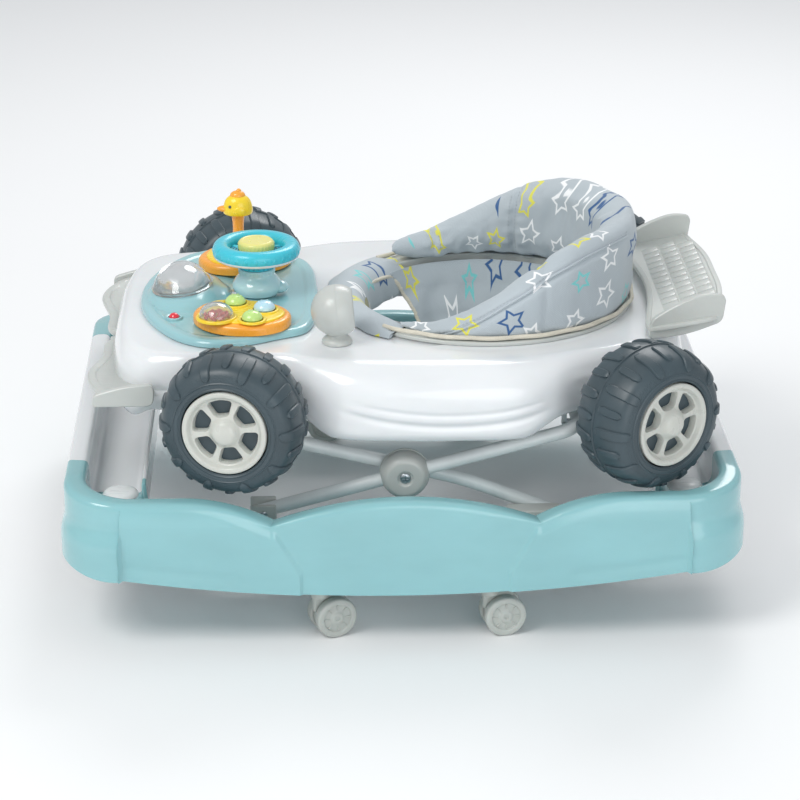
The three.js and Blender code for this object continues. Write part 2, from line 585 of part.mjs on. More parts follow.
// --- Dashboard -------------------------------------------------------------------------------
const dashHalf = [[-305, 0], [-301, -45], [-284, -98], [-254, -146], [-222, -166], [-180, -162], [-140, -142],
  [-110, -124], [-98, -90], [-94, -40], [-93, 0]];
const dashOutline = outline(mirrored(dashHalf), 32);
const dashTop = DECK.topZ + GAP + DASH.thickness;
/** The raised hump of the panel under its dome, grown by a clearance. */
const hump = (grow) => egg([DASH.hump.x, 0, dashTop - 6], DASH.hump.radii.map((r) => r + grow));
const dash = stack(dashOutline, [[0, DECK.topZ + GAP], [0, DECK.topZ + 5], [4, dashTop]]).add(hump(0));
const underDeck = block([-400, -300, 200], [0, 300, DECK.topZ + GAP]);
add('dash_panel', dash.subtract(underDeck), COLOUR.paleAqua, { roughness: 0.2 });

const noseSeat = hump(GAP).add(stack(dashOutline, [[-1, 250], [-1, dashTop + GAP]]));
const noseDome = egg([-262, 0, dashTop - 2], [34, 44, 30]).subtract(noseSeat);
add('nose_dome', noseDome, COLOUR.clear, { roughness: 0.05, opacity: 0.35 });

const beanPoints = [[-57, 6], [-46, -26], [-18, -47], [20, -50], [48, -34], [57, -4], [44, 24], [18, 40],
  [-14, 46], [-42, 36]];
const bean = outline(beanPoints, 20);
const consoleZ = dashTop + GAP;
const consoleTop = consoleZ + 12;
const consoleBody = stack(bean, [[0, consoleZ], [0, consoleZ + 7], [7, consoleTop]]);
const consolePlace = { x: -182, y: 103 };
const buttons = [
  ['button_front', -190, -82, 12.5, COLOUR.green], ['button_middle', -156, -104, 13, COLOUR.blue],
  ['button_rear', -170, -137, 12.5, COLOUR.green],
];
const beads = { x: -211, y: -126, radius: 20 };
const buttonWells = buttons.map(([, x, y, r]) => move(rod(r - 1.5, consoleZ + 1, consoleTop + 9, 18), x, y, 0));
const leftConsole = buttonWells.reduce((body, well) => body.subtract(well),
  move(consoleBody, consolePlace.x, -consolePlace.y, 0));
const trim = (shape) => shape.subtract(hump(GAP));
add('console_left', trim(leftConsole), COLOUR.orange);
add('console_right', trim(move(mirrorY(consoleBody), consolePlace.x, consolePlace.y, 0)), COLOUR.orange);
for (const [name, x, y, r, colour] of buttons) {
  const cap = turned([[0, consoleZ + 5], [r - 2.2, consoleZ + 5], [r - 2.2, consoleTop + 4.2],
    [r, consoleTop + 4.6],
    [r * 0.8, consoleTop + 10], [0, consoleTop + 14]], 14);
  add(name, move(cap, x, y, 0), colour);
}
const beadDome = turned([[0, consoleTop + GAP], [beads.radius, consoleTop + GAP], [beads.radius, consoleTop + 6],
  [beads.radius * 0.8, consoleTop + 14], [0, consoleTop + 20]], 18);
add('bead_dome', move(beadDome, beads.x, beads.y, 0), COLOUR.clear, { roughness: 0.05, opacity: 0.4 });

const BIRD = { x: -189, y: 110, neck: 8, headZ: 386 };
const birdHead = egg([0, 0, BIRD.headZ], [19, 14, 16], 14, 8);
const beak = egg([-15, 0, BIRD.headZ - 3], [11, 8, 5], 8, 6);
const crest = egg([0, 0, BIRD.headZ + 14], [6, 6, 8], 8, 6);
const bird = rod(20, consoleTop + GAP, consoleTop + 6).add(rod(BIRD.neck, consoleTop + 4, BIRD.headZ - 10, 10))
  .add(birdHead).add(beak).add(crest);
add('bird_figure', move(bird, BIRD.x, BIRD.y, 0), COLOUR.yellow);

const lens = turned([[0, dashTop + GAP], [6.3, dashTop + GAP], [6, dashTop + 3], [0, dashTop + 5]], 18);
add('led_lens', move(lens, -262, -84, 0), COLOUR.red, { roughness: 0.15 });

// --- Steering wheel --------------------------------------------------------------------------
const collarZ = STEER.topZ - 2 * STEER.tubeRadius - 12;
const post = turned([[0, consoleZ], [STEER.baseRadius - 4, consoleZ], [STEER.baseRadius, consoleZ + 8],
  [STEER.baseRadius - 8, collarZ - 9], [STEER.collarRadius, collarZ - 6], [STEER.collarRadius, collarZ - GAP],
  [8, collarZ - GAP], [8, collarZ + 8], [0, collarZ + 8]], 20);
add('steering_post', trim(move(post, STEER.x, 0, 0)), COLOUR.paleAqua, { roughness: 0.15 });

const ringZ = STEER.topZ - STEER.tubeRadius;
const grip = new THREE.TorusGeometry(STEER.ringRadius, STEER.tubeRadius, 8, 24);
grip.translate(0, 0, ringZ);
const hubDisc = turned([[8.5, collarZ], [STEER.collarRadius, collarZ], [STEER.collarRadius, collarZ + 8],
  [STEER.ringRadius, ringZ - 6], [STEER.ringRadius, ringZ + 2], [22.5, ringZ + 3], [22.5, ringZ - 3],
  [8.5, ringZ - 3], [8.5, collarZ]], 24);
add('steering_wheel', move(solid(grip).add(hubDisc), STEER.x, 0, 0), COLOUR.cyan);
const hornCap = turned([[0, ringZ + 1], [21.5, ringZ + 1], [21.5, ringZ + 9], [17, ringZ + 12],
  [0, ringZ + 13]], 24);
add('horn_button', move(hornCap, STEER.x, 0, 0), COLOUR.horn);

// --- Side mirror -----------------------------------------------------------------------------
const faceTurn = [0, MIRROR.faceTurn, 0];
const faceDepth = MIRROR.radius * 0.62;
const housing = egg([0, 0, 0], [MIRROR.radius, MIRROR.radius, MIRROR.radius], 16, 10)
  .subtract(block([-40, -40, faceDepth], [40, 40, 40]).rotate(faceTurn));
const stalk = turned([[0, DECK.topZ + GAP], [MIRROR.foot, DECK.topZ + GAP], [MIRROR.neck, DECK.topZ + 9],
  [MIRROR.neck, MIRROR.centreZ - 12], [0, MIRROR.centreZ - 12]], 20);
const mirrorBody = move(housing, MIRROR.x, MIRROR.y, MIRROR.centreZ).add(move(stalk, MIRROR.x, MIRROR.y, 0));
add('mirror_housing', mirrorBody, COLOUR.grey);
const glass = rod(MIRROR.radius * 0.72, faceDepth + GAP, faceDepth + 2, 24).rotate(faceTurn);
add('mirror_glass', move(glass, MIRROR.x, MIRROR.y, MIRROR.centreZ), COLOUR.steel,
  { roughness: 0.05, metalness: 1 });

// --- Front wing and rear spoiler -------------------------------------------------------------
const wingHalf = [[-344, 0], [-346, -70], [-362, -132], [-352, -176], [-336, -200], [-300, -203], [-284, -196],
  [-290, -150], [-335, -120], [-338, -60], [-338, 0]];
const bladeZ = 252;
const wingBlade = stack(outline(mirrored(wingHalf), 32), [[1.5, bladeZ], [0, bladeZ + 4], [1.5, bladeZ + 8]]);
const shellSkin = cavity(-GAP, DECK.topZ + 1);
const endPlateY = 203;
const endPlate = block([-334, -endPlateY - 4, bladeZ - 4], [-280, -endPlateY + 4, bladeZ + 24]);
const tyreRoom = placeWheel(rod(WHEEL.radius + 1, -60, 60), WHEEL.front);
const wing = wingBlade.add(endPlate).add(mirrorY(endPlate)).subtract(shellSkin)
  .subtract(tyreRoom).subtract(mirrorY(tyreRoom));
add('front_wing', wing, COLOUR.grey);

const spoilerPlan = mirrored([[300, 0], [296, -60], [287, -120], [285, -155], [364, -155], [372, -120],
  [384, -60], [385, 0]]);
const spoilerZ = (x) => mix(316, 334, clamp01((x - 285) / 100));
const spoilerDeck = loft([-6, 0].map((lift) => spoilerPlan.map(([x, y]) => [x, y, spoilerZ(x) + lift])));
const finPoints = [[286, 300], [372, 322], [374, 352], [352, 356], [318, 342], [290, 326]];
const pylonPoints = [[296, 274], [326, 292], [352, 326], [292, 312]];
const spoiler = [-1, 1].reduce((body, side) => body.add(upright(finPoints, side * 148, 8))
  .add(upright(pylonPoints, side * 112, 8)), spoilerDeck).subtract(shellSkin);
add('rear_spoiler', spoiler, COLOUR.grey);

export default walker;
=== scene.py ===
"""A baby walker and rocker shaped as a racing car: its visible surfaces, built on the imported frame.

Shapes are worked out in millimetres in the walker's own frame: the floor is Z 0, the nose points
along -X and the walker's left side is -Y. Each shape is a pair (points, faces).
"""

import math
from types import SimpleNamespace

import bmesh
import bpy
from mathutils import Matrix, Vector, noise


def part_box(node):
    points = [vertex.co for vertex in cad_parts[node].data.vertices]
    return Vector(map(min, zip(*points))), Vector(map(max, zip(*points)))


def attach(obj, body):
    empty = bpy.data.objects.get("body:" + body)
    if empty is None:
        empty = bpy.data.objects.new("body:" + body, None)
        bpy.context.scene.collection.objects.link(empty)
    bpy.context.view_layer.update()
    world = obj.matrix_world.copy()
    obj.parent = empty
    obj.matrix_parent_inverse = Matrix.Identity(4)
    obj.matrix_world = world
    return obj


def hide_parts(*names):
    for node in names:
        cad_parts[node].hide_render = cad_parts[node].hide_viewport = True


bl_info = {
    "name": "Racing Car Baby Walker",
    "version": (1, 0, 0),
    "blender": (4, 5, 0),
    "location": "View3D > Sidebar > Walker",
    "description": "Makes the shells, wheels, padded seat and toys of a baby walker",
    "category": "Add Mesh",
}

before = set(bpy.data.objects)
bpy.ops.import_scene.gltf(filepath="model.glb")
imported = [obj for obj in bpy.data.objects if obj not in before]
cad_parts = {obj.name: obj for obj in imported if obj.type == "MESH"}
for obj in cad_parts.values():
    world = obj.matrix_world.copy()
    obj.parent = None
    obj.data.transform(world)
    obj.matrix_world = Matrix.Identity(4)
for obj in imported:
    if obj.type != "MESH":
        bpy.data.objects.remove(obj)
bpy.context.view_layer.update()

MM = 0.001
TAU = math.tau
GAP = 0.3  # clearance between pieces that touch
SIDES = (("left", -1), ("right", 1))
ENDS = (("front", -1), ("rear", 1))


# --------------------------------------------------------------------------------------------
# Shape helpers, in millimetres
# --------------------------------------------------------------------------------------------
def mix(a, b, t):
    """The value a share t of the way from a to b."""
    return a + (b - a) * t


def clamp(t, low=0.0, high=1.0):
    return min(high, max(low, t))


def smooth(t):
    """A soft step from 0 to 1 as t goes from 0 to 1."""
    t = clamp(t)
    return t * t * (3 - 2 * t)


def bump(distance, width):
    """A soft hill of height 1 at distance 0."""
    return math.exp(-((distance / width) ** 2))


def spread(low, high, count):
    """Evenly spaced values from low to high, both ends included."""
    return [mix(low, high, i / (count - 1)) for i in range(count)]


def fillet(corners, steps=4, closed=True):
    """A polygon of (x, y, radius) corners with each corner rounded."""
    result = []
    count = len(corners)
    for i, (x, y, radius) in enumerate(corners):
        here = Vector((x, y))
        if not closed and i in (0, count - 1):
            result.append((x, y))
            continue
        before = Vector(corners[i - 1][:2]) - here
        after = Vector(corners[(i + 1) % count][:2]) - here
        start = here + before.normalized() * min(radius, before.length * 0.45)
        end = here + after.normalized() * min(radius, after.length * 0.45)
        for t in spread(0, 1, steps + 1):
            point = start * (1 - t) ** 2 + here * 2 * t * (1 - t) + end * t * t
            result.append((point.x, point.y))
    return result


def smooth_curve(points, count, closed=True):
    """Evenly spaced points on a centripetal Catmull-Rom curve through the given points."""
    points = [Vector(p) for p in points]
    total = len(points)
    spans = total if closed else total - 1
    fine = []
    for i in range(spans):
        if closed:
            p = [points[(i + k) % total] for k in (-1, 0, 1, 2)]
        else:
            p = [points[i - 1] if i else points[0] * 2 - points[1], points[i], points[i + 1]]
            p.append(points[i + 2] if i + 2 < total else points[-1] * 2 - points[-2])
        d = [max((p[k + 1] - p[k]).length ** 0.5, 1e-4) for k in range(3)]
        start = ((p[1] - p[0]) / d[0] - (p[2] - p[0]) / (d[0] + d[1]) + (p[2] - p[1]) / d[1]) * d[1]
        end = ((p[2] - p[1]) / d[1] - (p[3] - p[1]) / (d[1] + d[2]) + (p[3] - p[2]) / d[2]) * d[1]
        for step in range(24):
            t = step / 24
            fine.append(
                p[1] * (2 * t**3 - 3 * t**2 + 1) + start * (t**3 - 2 * t**2 + t)
                + p[2] * (3 * t**2 - 2 * t**3) + end * (t**3 - t**2)
            )
    fine.append(points[0] if closed else points[-1])
    lengths = [0.0]
    for a, b in zip(fine, fine[1:]):
        lengths.append(lengths[-1] + (b - a).length)
    result, k = [], 0
    last = count if closed else count - 1
    for i in range(count):
        want = lengths[-1] * i / last
        while k < len(fine) - 2 and lengths[k + 1] < want:
            k += 1
        t = (want - lengths[k]) / max(lengths[k + 1] - lengths[k], 1e-9)
        result.append(tuple(fine[k].lerp(fine[k + 1], clamp(t))))
    return result


def mirrored(half):
    """The left half of an outline joined to its mirror image."""
    return half + [(x, -y) for x, y in reversed(half) if abs(y) > 1e-6]


def inset(points, distance):
    """An outline moved inwards by a distance."""
    result = []
    for i, (x, y) in enumerate(points):
        ax, ay = points[i - 1]
        bx, by = points[(i + 1) % len(points)]
        length = math.hypot(bx - ax, by - ay) or 1
        result.append((x - distance * (by - ay) / length, y + distance * (bx - ax) / length))
    return result


def ellipse(x, y, a, b, count, start=0.0):
    turns = [start + TAU * i / count for i in range(count)]
    return [(x + a * math.cos(t), y + b * math.sin(t)) for t in turns]


def loft(rings, caps=True, loop=False, open_rings=False):
    """A skin through rows of points; caps closes the two ends, loop joins the last row to the first."""
    count = len(rings[0])
    points = [tuple(p) for ring in rings for p in ring]
    faces = []
    rows = len(rings) if loop else len(rings) - 1
    for i in range(rows):
        here, there = i * count, ((i + 1) % len(rings)) * count
        for j in range(count - 1 if open_rings else count):
            k = (j + 1) % count
            faces.append((here + j, here + k, there + k, there + j))
    if caps and not loop:
        faces.append(tuple(reversed(range(count))))
        faces.append(tuple(range(len(points) - count, len(points))))
    return points, faces


def lathe(profile, segments=64):
    """A body of revolution about +Z from (radius, z) points."""
    turns = [TAU * i / segments for i in range(segments)]
    rings = [[(r * math.cos(a), r * math.sin(a), z) for a in turns] for r, z in profile]
    on_axis = profile[0][0] < 1e-6 and profile[-1][0] < 1e-6
    return loft(rings, caps=False, loop=not on_axis)


def stack(outline, levels):
    """A slab through levels of one outline, each level an (inset, z) pair."""
    return loft([[(x, y, z) for x, y in inset(outline, d)] for d, z in levels])


def edge_levels(low, high, radius, steps=5, foot=0.6):
    """Levels of a slab with a rounded top edge and a small one below."""
    top = [(radius - radius * math.cos(a), high - radius + radius * math.sin(a))
           for a in spread(0, math.pi / 2, steps + 1)]
    return [(foot, low), (0, low + foot)] + top


def box_shape(low, high, radius=1.5, segments=3):
    """A box from its lowest to its highest corner, with its edges rounded."""
    mesh = bmesh.new()
    bmesh.ops.create_cube(mesh, size=1)
    for v in mesh.verts:
        v.co = Vector(mix(low[i], high[i], v.co[i] + 0.5) for i in range(3))
    radius = min(radius, min(high[i] - low[i] for i in range(3)) * 0.45)
    bmesh.ops.bevel(mesh, geom=mesh.edges[:], offset=radius, segments=segments, profile=0.5,
                    affect="EDGES")
    shape = from_bmesh(mesh)
    return shape


def from_bmesh(mesh):
    mesh.verts.index_update()
    shape = [tuple(v.co) for v in mesh.verts], [tuple(v.index for v in f.verts) for f in mesh.faces]
    mesh.free()
    return shape


def ball(centre, radii, segments=40, rows=22):
    """An ellipsoid about a centre."""
    turns = spread(-math.pi / 2, math.pi / 2, rows)
    points, faces = lathe([(math.cos(a) if abs(a) < 1.57 else 0, math.sin(a)) for a in turns], segments)
    return [tuple(c + r * v for c, r, v in zip(centre, radii, p)) for p in points], faces


def join(*shapes):
    points, faces = [], []
    for more_points, more_faces in shapes:
        first = len(points)
        points += more_points
        faces += [tuple(i + first for i in face) for face in more_faces]
    return points, faces


def change(shape, function):
    """A shape with each point put through a function of x, y and z."""
    points, faces = shape
    return [tuple(function(*p)) for p in points], faces


def placed(shape, x=0, y=0, z=0, turn=0.0, tilt=Matrix()):
    """A shape tilted, turned about Z by degrees, and moved."""
    matrix = Matrix.Translation((x, y, z)) @ Matrix.Rotation(math.radians(turn), 4, "Z") @ tilt.to_4x4()
    return [tuple(matrix @ Vector(p)) for p in shape[0]], shape[1]


TO_LEFT = Matrix.Rotation(math.radians(90), 4, "X")  # turns +Z to point to the walker's left


def mirror_y(shape):
    points, faces = shape
    return [(x, -y, z) for x, y, z in points], [tuple(reversed(f)) for f in faces]


def side_of(shape, side):
    """A left-hand shape, or its mirror image for the right."""
    return shape if side < 0 else mirror_y(shape)


def clean_mesh(name, shape, merge=0.01):
    """A mesh in metres with doubles merged and its faces pointing outwards."""
    mesh = bmesh.new()
    verts = [mesh.verts.new(Vector(p) * MM) for p in shape[0]]
    for face in shape[1]:
        if len(set(face)) > 2:
            try:
                mesh.faces.new([verts[i] for i in face])
            except ValueError:
                pass
    bmesh.ops.remove_doubles(mesh, verts=mesh.verts[:], dist=merge * MM)
    bmesh.ops.dissolve_degenerate(mesh, edges=mesh.edges[:], dist=merge * MM * 0.5)
    loose = [v for v in mesh.verts if not v.link_faces]
    bmesh.ops.delete(mesh, geom=loose, context="VERTS")
    bmesh.ops.recalc_face_normals(mesh, faces=mesh.faces[:])
    data = bpy.data.meshes.new(name)
    mesh.to_mesh(data)
    mesh.free()
    return data


def box_mm(node):
    """The lowest and highest corners of a CAD node, in millimetres."""
    return [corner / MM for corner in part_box(node)]


def piece(name, shape, finish, body, replaces=(), sharp=32):
    """A finished piece of the walker that rides on a body of the frame."""
    data = clean_mesh(name, shape)
    data.materials.append(finish)
    data.shade_smooth()
    data.set_sharp_from_angle(angle=math.radians(sharp))
    obj = bpy.data.objects.new(name, data)
    bpy.context.scene.collection.objects.link(obj)
    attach(obj, body)
    if replaces:
        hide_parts(*replaces)
    return obj


def temporary(name, data):
    obj = bpy.data.objects.new(name, data)
    bpy.context.scene.collection.objects.link(obj)
    return obj


def evaluated_shape(obj):
    """What an object's modifiers make of it, as a shape; the object is then removed."""
    bpy.context.view_layer.update()
    ready = obj.evaluated_get(bpy.context.evaluated_depsgraph_get())
    data = bpy.data.meshes.new_from_object(ready)
    shape = [tuple(v.co / MM) for v in data.vertices], [tuple(p.vertices) for p in data.polygons]
    bpy.data.meshes.remove(data)
    obj.modifiers.clear()
    bpy.data.objects.remove(obj)
    return shape


def cut(shape, *cutters):
    """A shape with other closed shapes cut out of it."""
    body = temporary("cut_body", clean_mesh("cut_body", shape))
    tool = temporary("cut_tool", clean_mesh("cut_tool", join(*cutters)))
    step = body.modifiers.new("cut", "BOOLEAN")
    step.operation, step.solver, step.object = "DIFFERENCE", "EXACT", tool
    step.use_self = True
    result = evaluated_shape(body)
    bpy.data.objects.remove(tool)
    return result


# --------------------------------------------------------------------------------------------
# Node helpers
# --------------------------------------------------------------------------------------------
class Nodes:
    """Builds a node tree: an input's value is a constant, a node, or one output of a node."""

    def __init__(self, tree):
        self.tree = tree
        tree.nodes.clear()

    def add(self, kind, inputs=None, **settings):
        node = self.tree.nodes.new(kind)
        for key, value in settings.items():
            setattr(node, key, value)
        for key, value in (inputs or {}).items():
            if isinstance(value, bpy.types.Node):
                value = value.outputs[0]
            if isinstance(value, bpy.types.NodeSocket):
                self.tree.links.new(value, node.inputs[key])
            else:
                node.inputs[key].default_value = value
        return node

    def math(self, operation, a, b=0.0):
        return self.add("ShaderNodeMath", {0: a, 1: b}, operation=operation)

    def vector(self, operation, a, b=(0, 0, 0)):
        return self.add("ShaderNodeVectorMath", {0: a, 1: b}, operation=operation)

    def combine(self, x, y, z):
        return self.add("ShaderNodeCombineXYZ", {0: x, 1: y, 2: z})

    def ramp(self, value, low, high, start=0.0, end=1.0):
        """value from start..end moved to low..high, clamped."""
        return self.add("ShaderNodeMapRange", {"Value": value, "From Min": start, "From Max": end,
                                               "To Min": low, "To Max": high})

    def noise(self, place, scale, detail=3.0):
        return self.add("ShaderNodeTexNoise", {"Vector": place, "Scale": scale, "Detail": detail})

    def blend(self, share, first, second):
        """The colour a share of the way from first to second."""
        return self.add("ShaderNodeMix", {0: share, 6: first, 7: second},
                        data_type="RGBA").outputs[2]


def tinted(colour, factor):
    return tuple(clamp(c * factor) for c in colour[:3]) + (1.0,)


def new_material(name):
    material = bpy.data.materials.new(name)
    material.use_nodes = True
    return material, Nodes(material.node_tree)


def close_material(nodes, **shader):
    """Adds the surface shader with its values and links, and the output."""
    names = {"base": "Base Color", "roughness": "Roughness", "metallic": "Metallic", "normal": "Normal",
             "coat": "Coat Weight", "coat_roughness": "Coat Roughness", "sheen": "Sheen Weight",
             "sheen_roughness": "Sheen Roughness", "transmission": "Transmission Weight", "ior": "IOR",
             "glow": "Emission Strength", "glow_colour": "Emission Color",
             "subsurface": "Subsurface Weight",
             "subsurface_scale": "Subsurface Scale"}
    surface = nodes.add("ShaderNodeBsdfPrincipled", {names[k]: v for k, v in shader.items()})
    nodes.add("ShaderNodeOutputMaterial", {"Surface": surface})


# --------------------------------------------------------------------------------------------
# Finishes
# --------------------------------------------------------------------------------------------
def moulded_plastic(name, colour, roughness=0.24, coat=0.35, grain=0.12, grain_scale=700, mottle=0.05):
    """Injection-moulded plastic: faint flow mottling, an orange-peel grain and uneven gloss."""
    material, n = new_material(name)
    place = n.add("ShaderNodeTexCoord").outputs["Object"]
    flow = n.noise(n.vector("MULTIPLY", place, (1, 1, 2.4)), 9, 4)
    base = n.blend(n.ramp(flow, 0, 1, 0.3, 0.7), tinted(colour, 1 - mottle),
                   tinted(colour, 1 + mottle * 0.5))
    scuffs = n.noise(n.vector("MULTIPLY", place, (1, 4, 1)), 60, 6)
    gloss = n.ramp(scuffs, roughness * 0.85, roughness * 1.35, 0.4, 0.75)
    peel = n.noise(place, grain_scale, 2)
    height = n.add("ShaderNodeBump", {"Strength": grain, "Distance": 0.0004, "Height": peel})
    close_material(n, base=base, roughness=gloss, normal=height, coat=coat, coat_roughness=0.12,
                   subsurface=0.04, subsurface_scale=0.004)
    return material


def tyre_plastic(name, colour):
    """Satin blown plastic with a pebbled band, where the mesh says so, on the sidewall."""
    material, n = new_material(name)
    place = n.add("ShaderNodeTexCoord").outputs["Object"]
    band = n.add("ShaderNodeAttribute", attribute_name="pebble").outputs["Fac"]
    dust = n.noise(place, 22, 5)
    base = n.blend(n.ramp(dust, 0, 1, 0.35, 0.7), tinted(colour, 0.9), tinted(colour, 1.14))
    pebbles = n.add("ShaderNodeTexVoronoi", {"Vector": place, "Scale": 620}, feature="SMOOTH_F1")
    grain = n.noise(place, 1100, 2)
    relief = n.math("ADD", n.math("MULTIPLY", n.math("MULTIPLY", pebbles, band), 1.6),
                    n.math("MULTIPLY", grain, 0.3))
    height = n.add("ShaderNodeBump", {"Strength": 0.5, "Distance": 0.0006, "Height": relief})
    gloss = n.math("ADD", n.ramp(dust, 0.34, 0.48, 0.3, 0.7), n.math("MULTIPLY", band, 0.15))
    close_material(n, base=base, roughness=gloss, normal=height, coat=0.15, coat_roughness=0.3)
    return material


def painted_tube(name, colour):
    """Powder-coated steel tube: fine speckle and a soft shine."""
    material, n = new_material(name)
    place = n.add("ShaderNodeTexCoord").outputs["Object"]
    speckle = n.noise(place, 1400, 2)
    wear = n.noise(place, 30, 6)
    base = n.blend(n.ramp(wear, 0, 1, 0.35, 0.75), tinted(colour, 1.03), tinted(colour, 0.9))
    height = n.add("ShaderNodeBump", {"Strength": 0.25, "Distance": 0.0003, "Height": speckle})
    close_material(n, base=base, roughness=n.ramp(speckle, 0.26, 0.42), metallic=0.0, normal=height,
                   coat=0.4,
                   coat_roughness=0.2)
    return material


def bare_steel(name, colour, roughness=0.28):
    """Zinc-plated steel with fine turning marks."""
    material, n = new_material(name)
    place = n.add("ShaderNodeTexCoord").outputs["Object"]
    marks = n.noise(n.vector("MULTIPLY", place, (900, 60, 900)), 1, 3)
    base = n.blend(n.ramp(marks, 0, 1, 0.3, 0.7), tinted(colour, 0.85), tinted(colour, 1.1))
    height = n.add("ShaderNodeBump", {"Strength": 0.15, "Distance": 0.0002, "Height": marks})
    close_material(n, base=base, roughness=n.ramp(marks, roughness, roughness * 1.4), metallic=1.0,
                   normal=height)
    return material


def clear_plastic(name, colour, tint=0.12):
    """Clear polycarbonate with a faint ripple in its surface."""
    material, n = new_material(name)
    place = n.add("ShaderNodeTexCoord").outputs["Object"]
    ripple = n.noise(place, 45, 2)
    height = n.add("ShaderNodeBump", {"Strength": 0.12, "Distance": 0.001, "Height": ripple})
    base = n.blend(n.ramp(ripple, 0, tint, 0.3, 0.7), (1, 1, 1, 1), tinted(colour, 1))
    close_material(n, base=base, roughness=n.ramp(ripple, 0.03, 0.07), normal=height, transmission=0.9,
                   ior=1.45,
                   coat=0.5, coat_roughness=0.03)
    return material


def woven(n, place, thread=0.0012):
    """Height of a plain weave over a flat place, in threads of that width."""
    parts = n.add("ShaderNodeSeparateXYZ", {0: place})
    turn = math.pi / thread
    across = n.math("SINE", n.math("MULTIPLY", parts.outputs[0], turn))
    along = n.math("SINE", n.math("MULTIPLY", parts.outputs[1], turn))
    return n.math("MULTIPLY", across, along)


def round_seat(n, centre, radius):
    """A flat place for cloth that wraps round the seat: distance along the ring, and height."""
    place = n.add("ShaderNodeTexCoord").outputs["Object"]
    parts = n.add("ShaderNodeSeparateXYZ", {0: n.vector("SUBTRACT", place, tuple(v * MM for v in centre))})
    x, y, z = parts.outputs
    reach = n.vector("LENGTH", n.combine(x, y, 0.0)).outputs[1]
    along = n.math("MULTIPLY", n.math("ARCTAN2", y, n.math("MULTIPLY", x, -1.0)), radius * MM)
    height = n.math("SUBTRACT", z, n.math("MULTIPLY", reach, 0.9))
    return place, n.combine(along, height, 0.0)


def star_outline(n, flat, spacing, line):
    """(how much of a printed star's line is here, the cell's random colour) on a flat place."""
    cell = n.add("ShaderNodeTexVoronoi", {"Vector": flat, "Scale": 1 / spacing, "Randomness": 0.55},
                 voronoi_dimensions="2D")
    chance = n.add("ShaderNodeSeparateColor", {0: cell.outputs["Color"]})
    offset = n.vector("SUBTRACT", flat, cell.outputs["Position"])
    x, y, _ = n.add("ShaderNodeSeparateXYZ", {0: offset}).outputs
    reach = n.vector("LENGTH", offset).outputs[1]
    turn = n.math("ADD", n.math("ARCTAN2", y, x), n.math("MULTIPLY", chance.outputs[0], TAU))
    fifth = TAU / 5
    fold = n.math("ABSOLUTE", n.math("SUBTRACT", n.math("FLOORED_MODULO", turn, fifth), fifth / 2))
    radius = n.ramp(chance.outputs[1], 0.0105, 0.016)
    along = n.math("SUBTRACT", n.math("MULTIPLY", reach, n.math("COSINE", fold)), radius)
    across = n.math("MULTIPLY", reach, n.math("SINE", fold))
    edge = n.math("ADD", n.math("MULTIPLY", along, 0.4426), n.math("MULTIPLY", across, 0.8967))
    drawn = n.ramp(n.math("ABSOLUTE", edge), 1, 0, line * 0.35, line * 0.65)
    shown = n.math("GREATER_THAN", chance.outputs[2], 0.12)
    return n.math("MULTIPLY", drawn, shown), chance.outputs[0]


def star_cloth(name, colours, centre, radius=160):
    """Pale quilted cotton printed with star outlines in four colours."""
    material, n = new_material(name)
    place, flat = round_seat(n, centre, radius)
    star, chance = star_outline(n, flat, spacing=0.046, line=0.0026)
    ink = n.add("ShaderNodeValToRGB", {0: chance})
    steps = [(0.0, colours.star_blue), (0.26, colours.star_yellow), (0.44, colours.star_aqua),
             (0.6, colours.star_white)]
    ink.color_ramp.interpolation = "CONSTANT"
    for i, (at, colour) in enumerate(steps):
        stop = ink.color_ramp.elements[i] if i < 2 else ink.color_ramp.elements.new(at)
        stop.position, stop.color = at, tinted(colour, 1)
    weave = woven(n, flat)
    patches = n.noise(place, 12, 4)
    cloth = n.blend(n.ramp(patches, 0, 1, 0.3, 0.7), tinted(colours.fabric, 0.93),
                    tinted(colours.fabric, 1.05))
    cloth = n.blend(n.ramp(weave, 0, 0.22, -1, 1), cloth, tinted(colours.fabric, 0.8))
    base = n.blend(star, cloth, ink)
    puckers = n.noise(place, 60, 3)
    relief = n.math("ADD", n.math("MULTIPLY", weave, 0.35), puckers)
    height = n.add("ShaderNodeBump", {"Strength": 0.35, "Distance": 0.0012, "Height": relief})
    close_material(n, base=base, roughness=n.ramp(weave, 0.82, 0.92, -1, 1), normal=height, sheen=0.25,
                   sheen_roughness=0.5)
    return material


def plain_cloth(name, colour, thread=0.0014, sheen=0.2):
    """Plain woven cloth or webbing with slubs in its threads."""
    material, n = new_material(name)
    place = n.add("ShaderNodeTexCoord").outputs["Object"]
    mixed = n.vector("ADD", place, n.combine(0.0, 0.0, 0.0))
    parts = n.add("ShaderNodeSeparateXYZ", {0: mixed})
    flat = n.combine(n.math("ADD", parts.outputs[0], parts.outputs[1]), parts.outputs[2], 0.0)
    weave = woven(n, flat, thread)
    slubs = n.noise(n.vector("MULTIPLY", place, (1, 1, 6)), 80, 4)
    base = n.blend(n.ramp(slubs, 0, 1, 0.3, 0.75), tinted(colour, 1.04), tinted(colour, 0.84))
    height = n.add("ShaderNodeBump", {"Strength": 0.4, "Distance": 0.0008,
                                      "Height": n.math("ADD", weave, n.math("MULTIPLY", slubs, 0.6))})
    close_material(n, base=base, roughness=n.ramp(weave, 0.78, 0.9, -1, 1), normal=height, sheen=sheen,
                   sheen_roughness=0.5)
    return material


def colour_of(hexa):
    """A linear colour from its sRGB hexadecimal."""
    values = [int(hexa[i:i + 2], 16) / 255 for i in (1, 3, 5)]
    return tuple(v / 12.92 if v <= 0.04045 else ((v + 0.055) / 1.055) ** 2.4 for v in values)


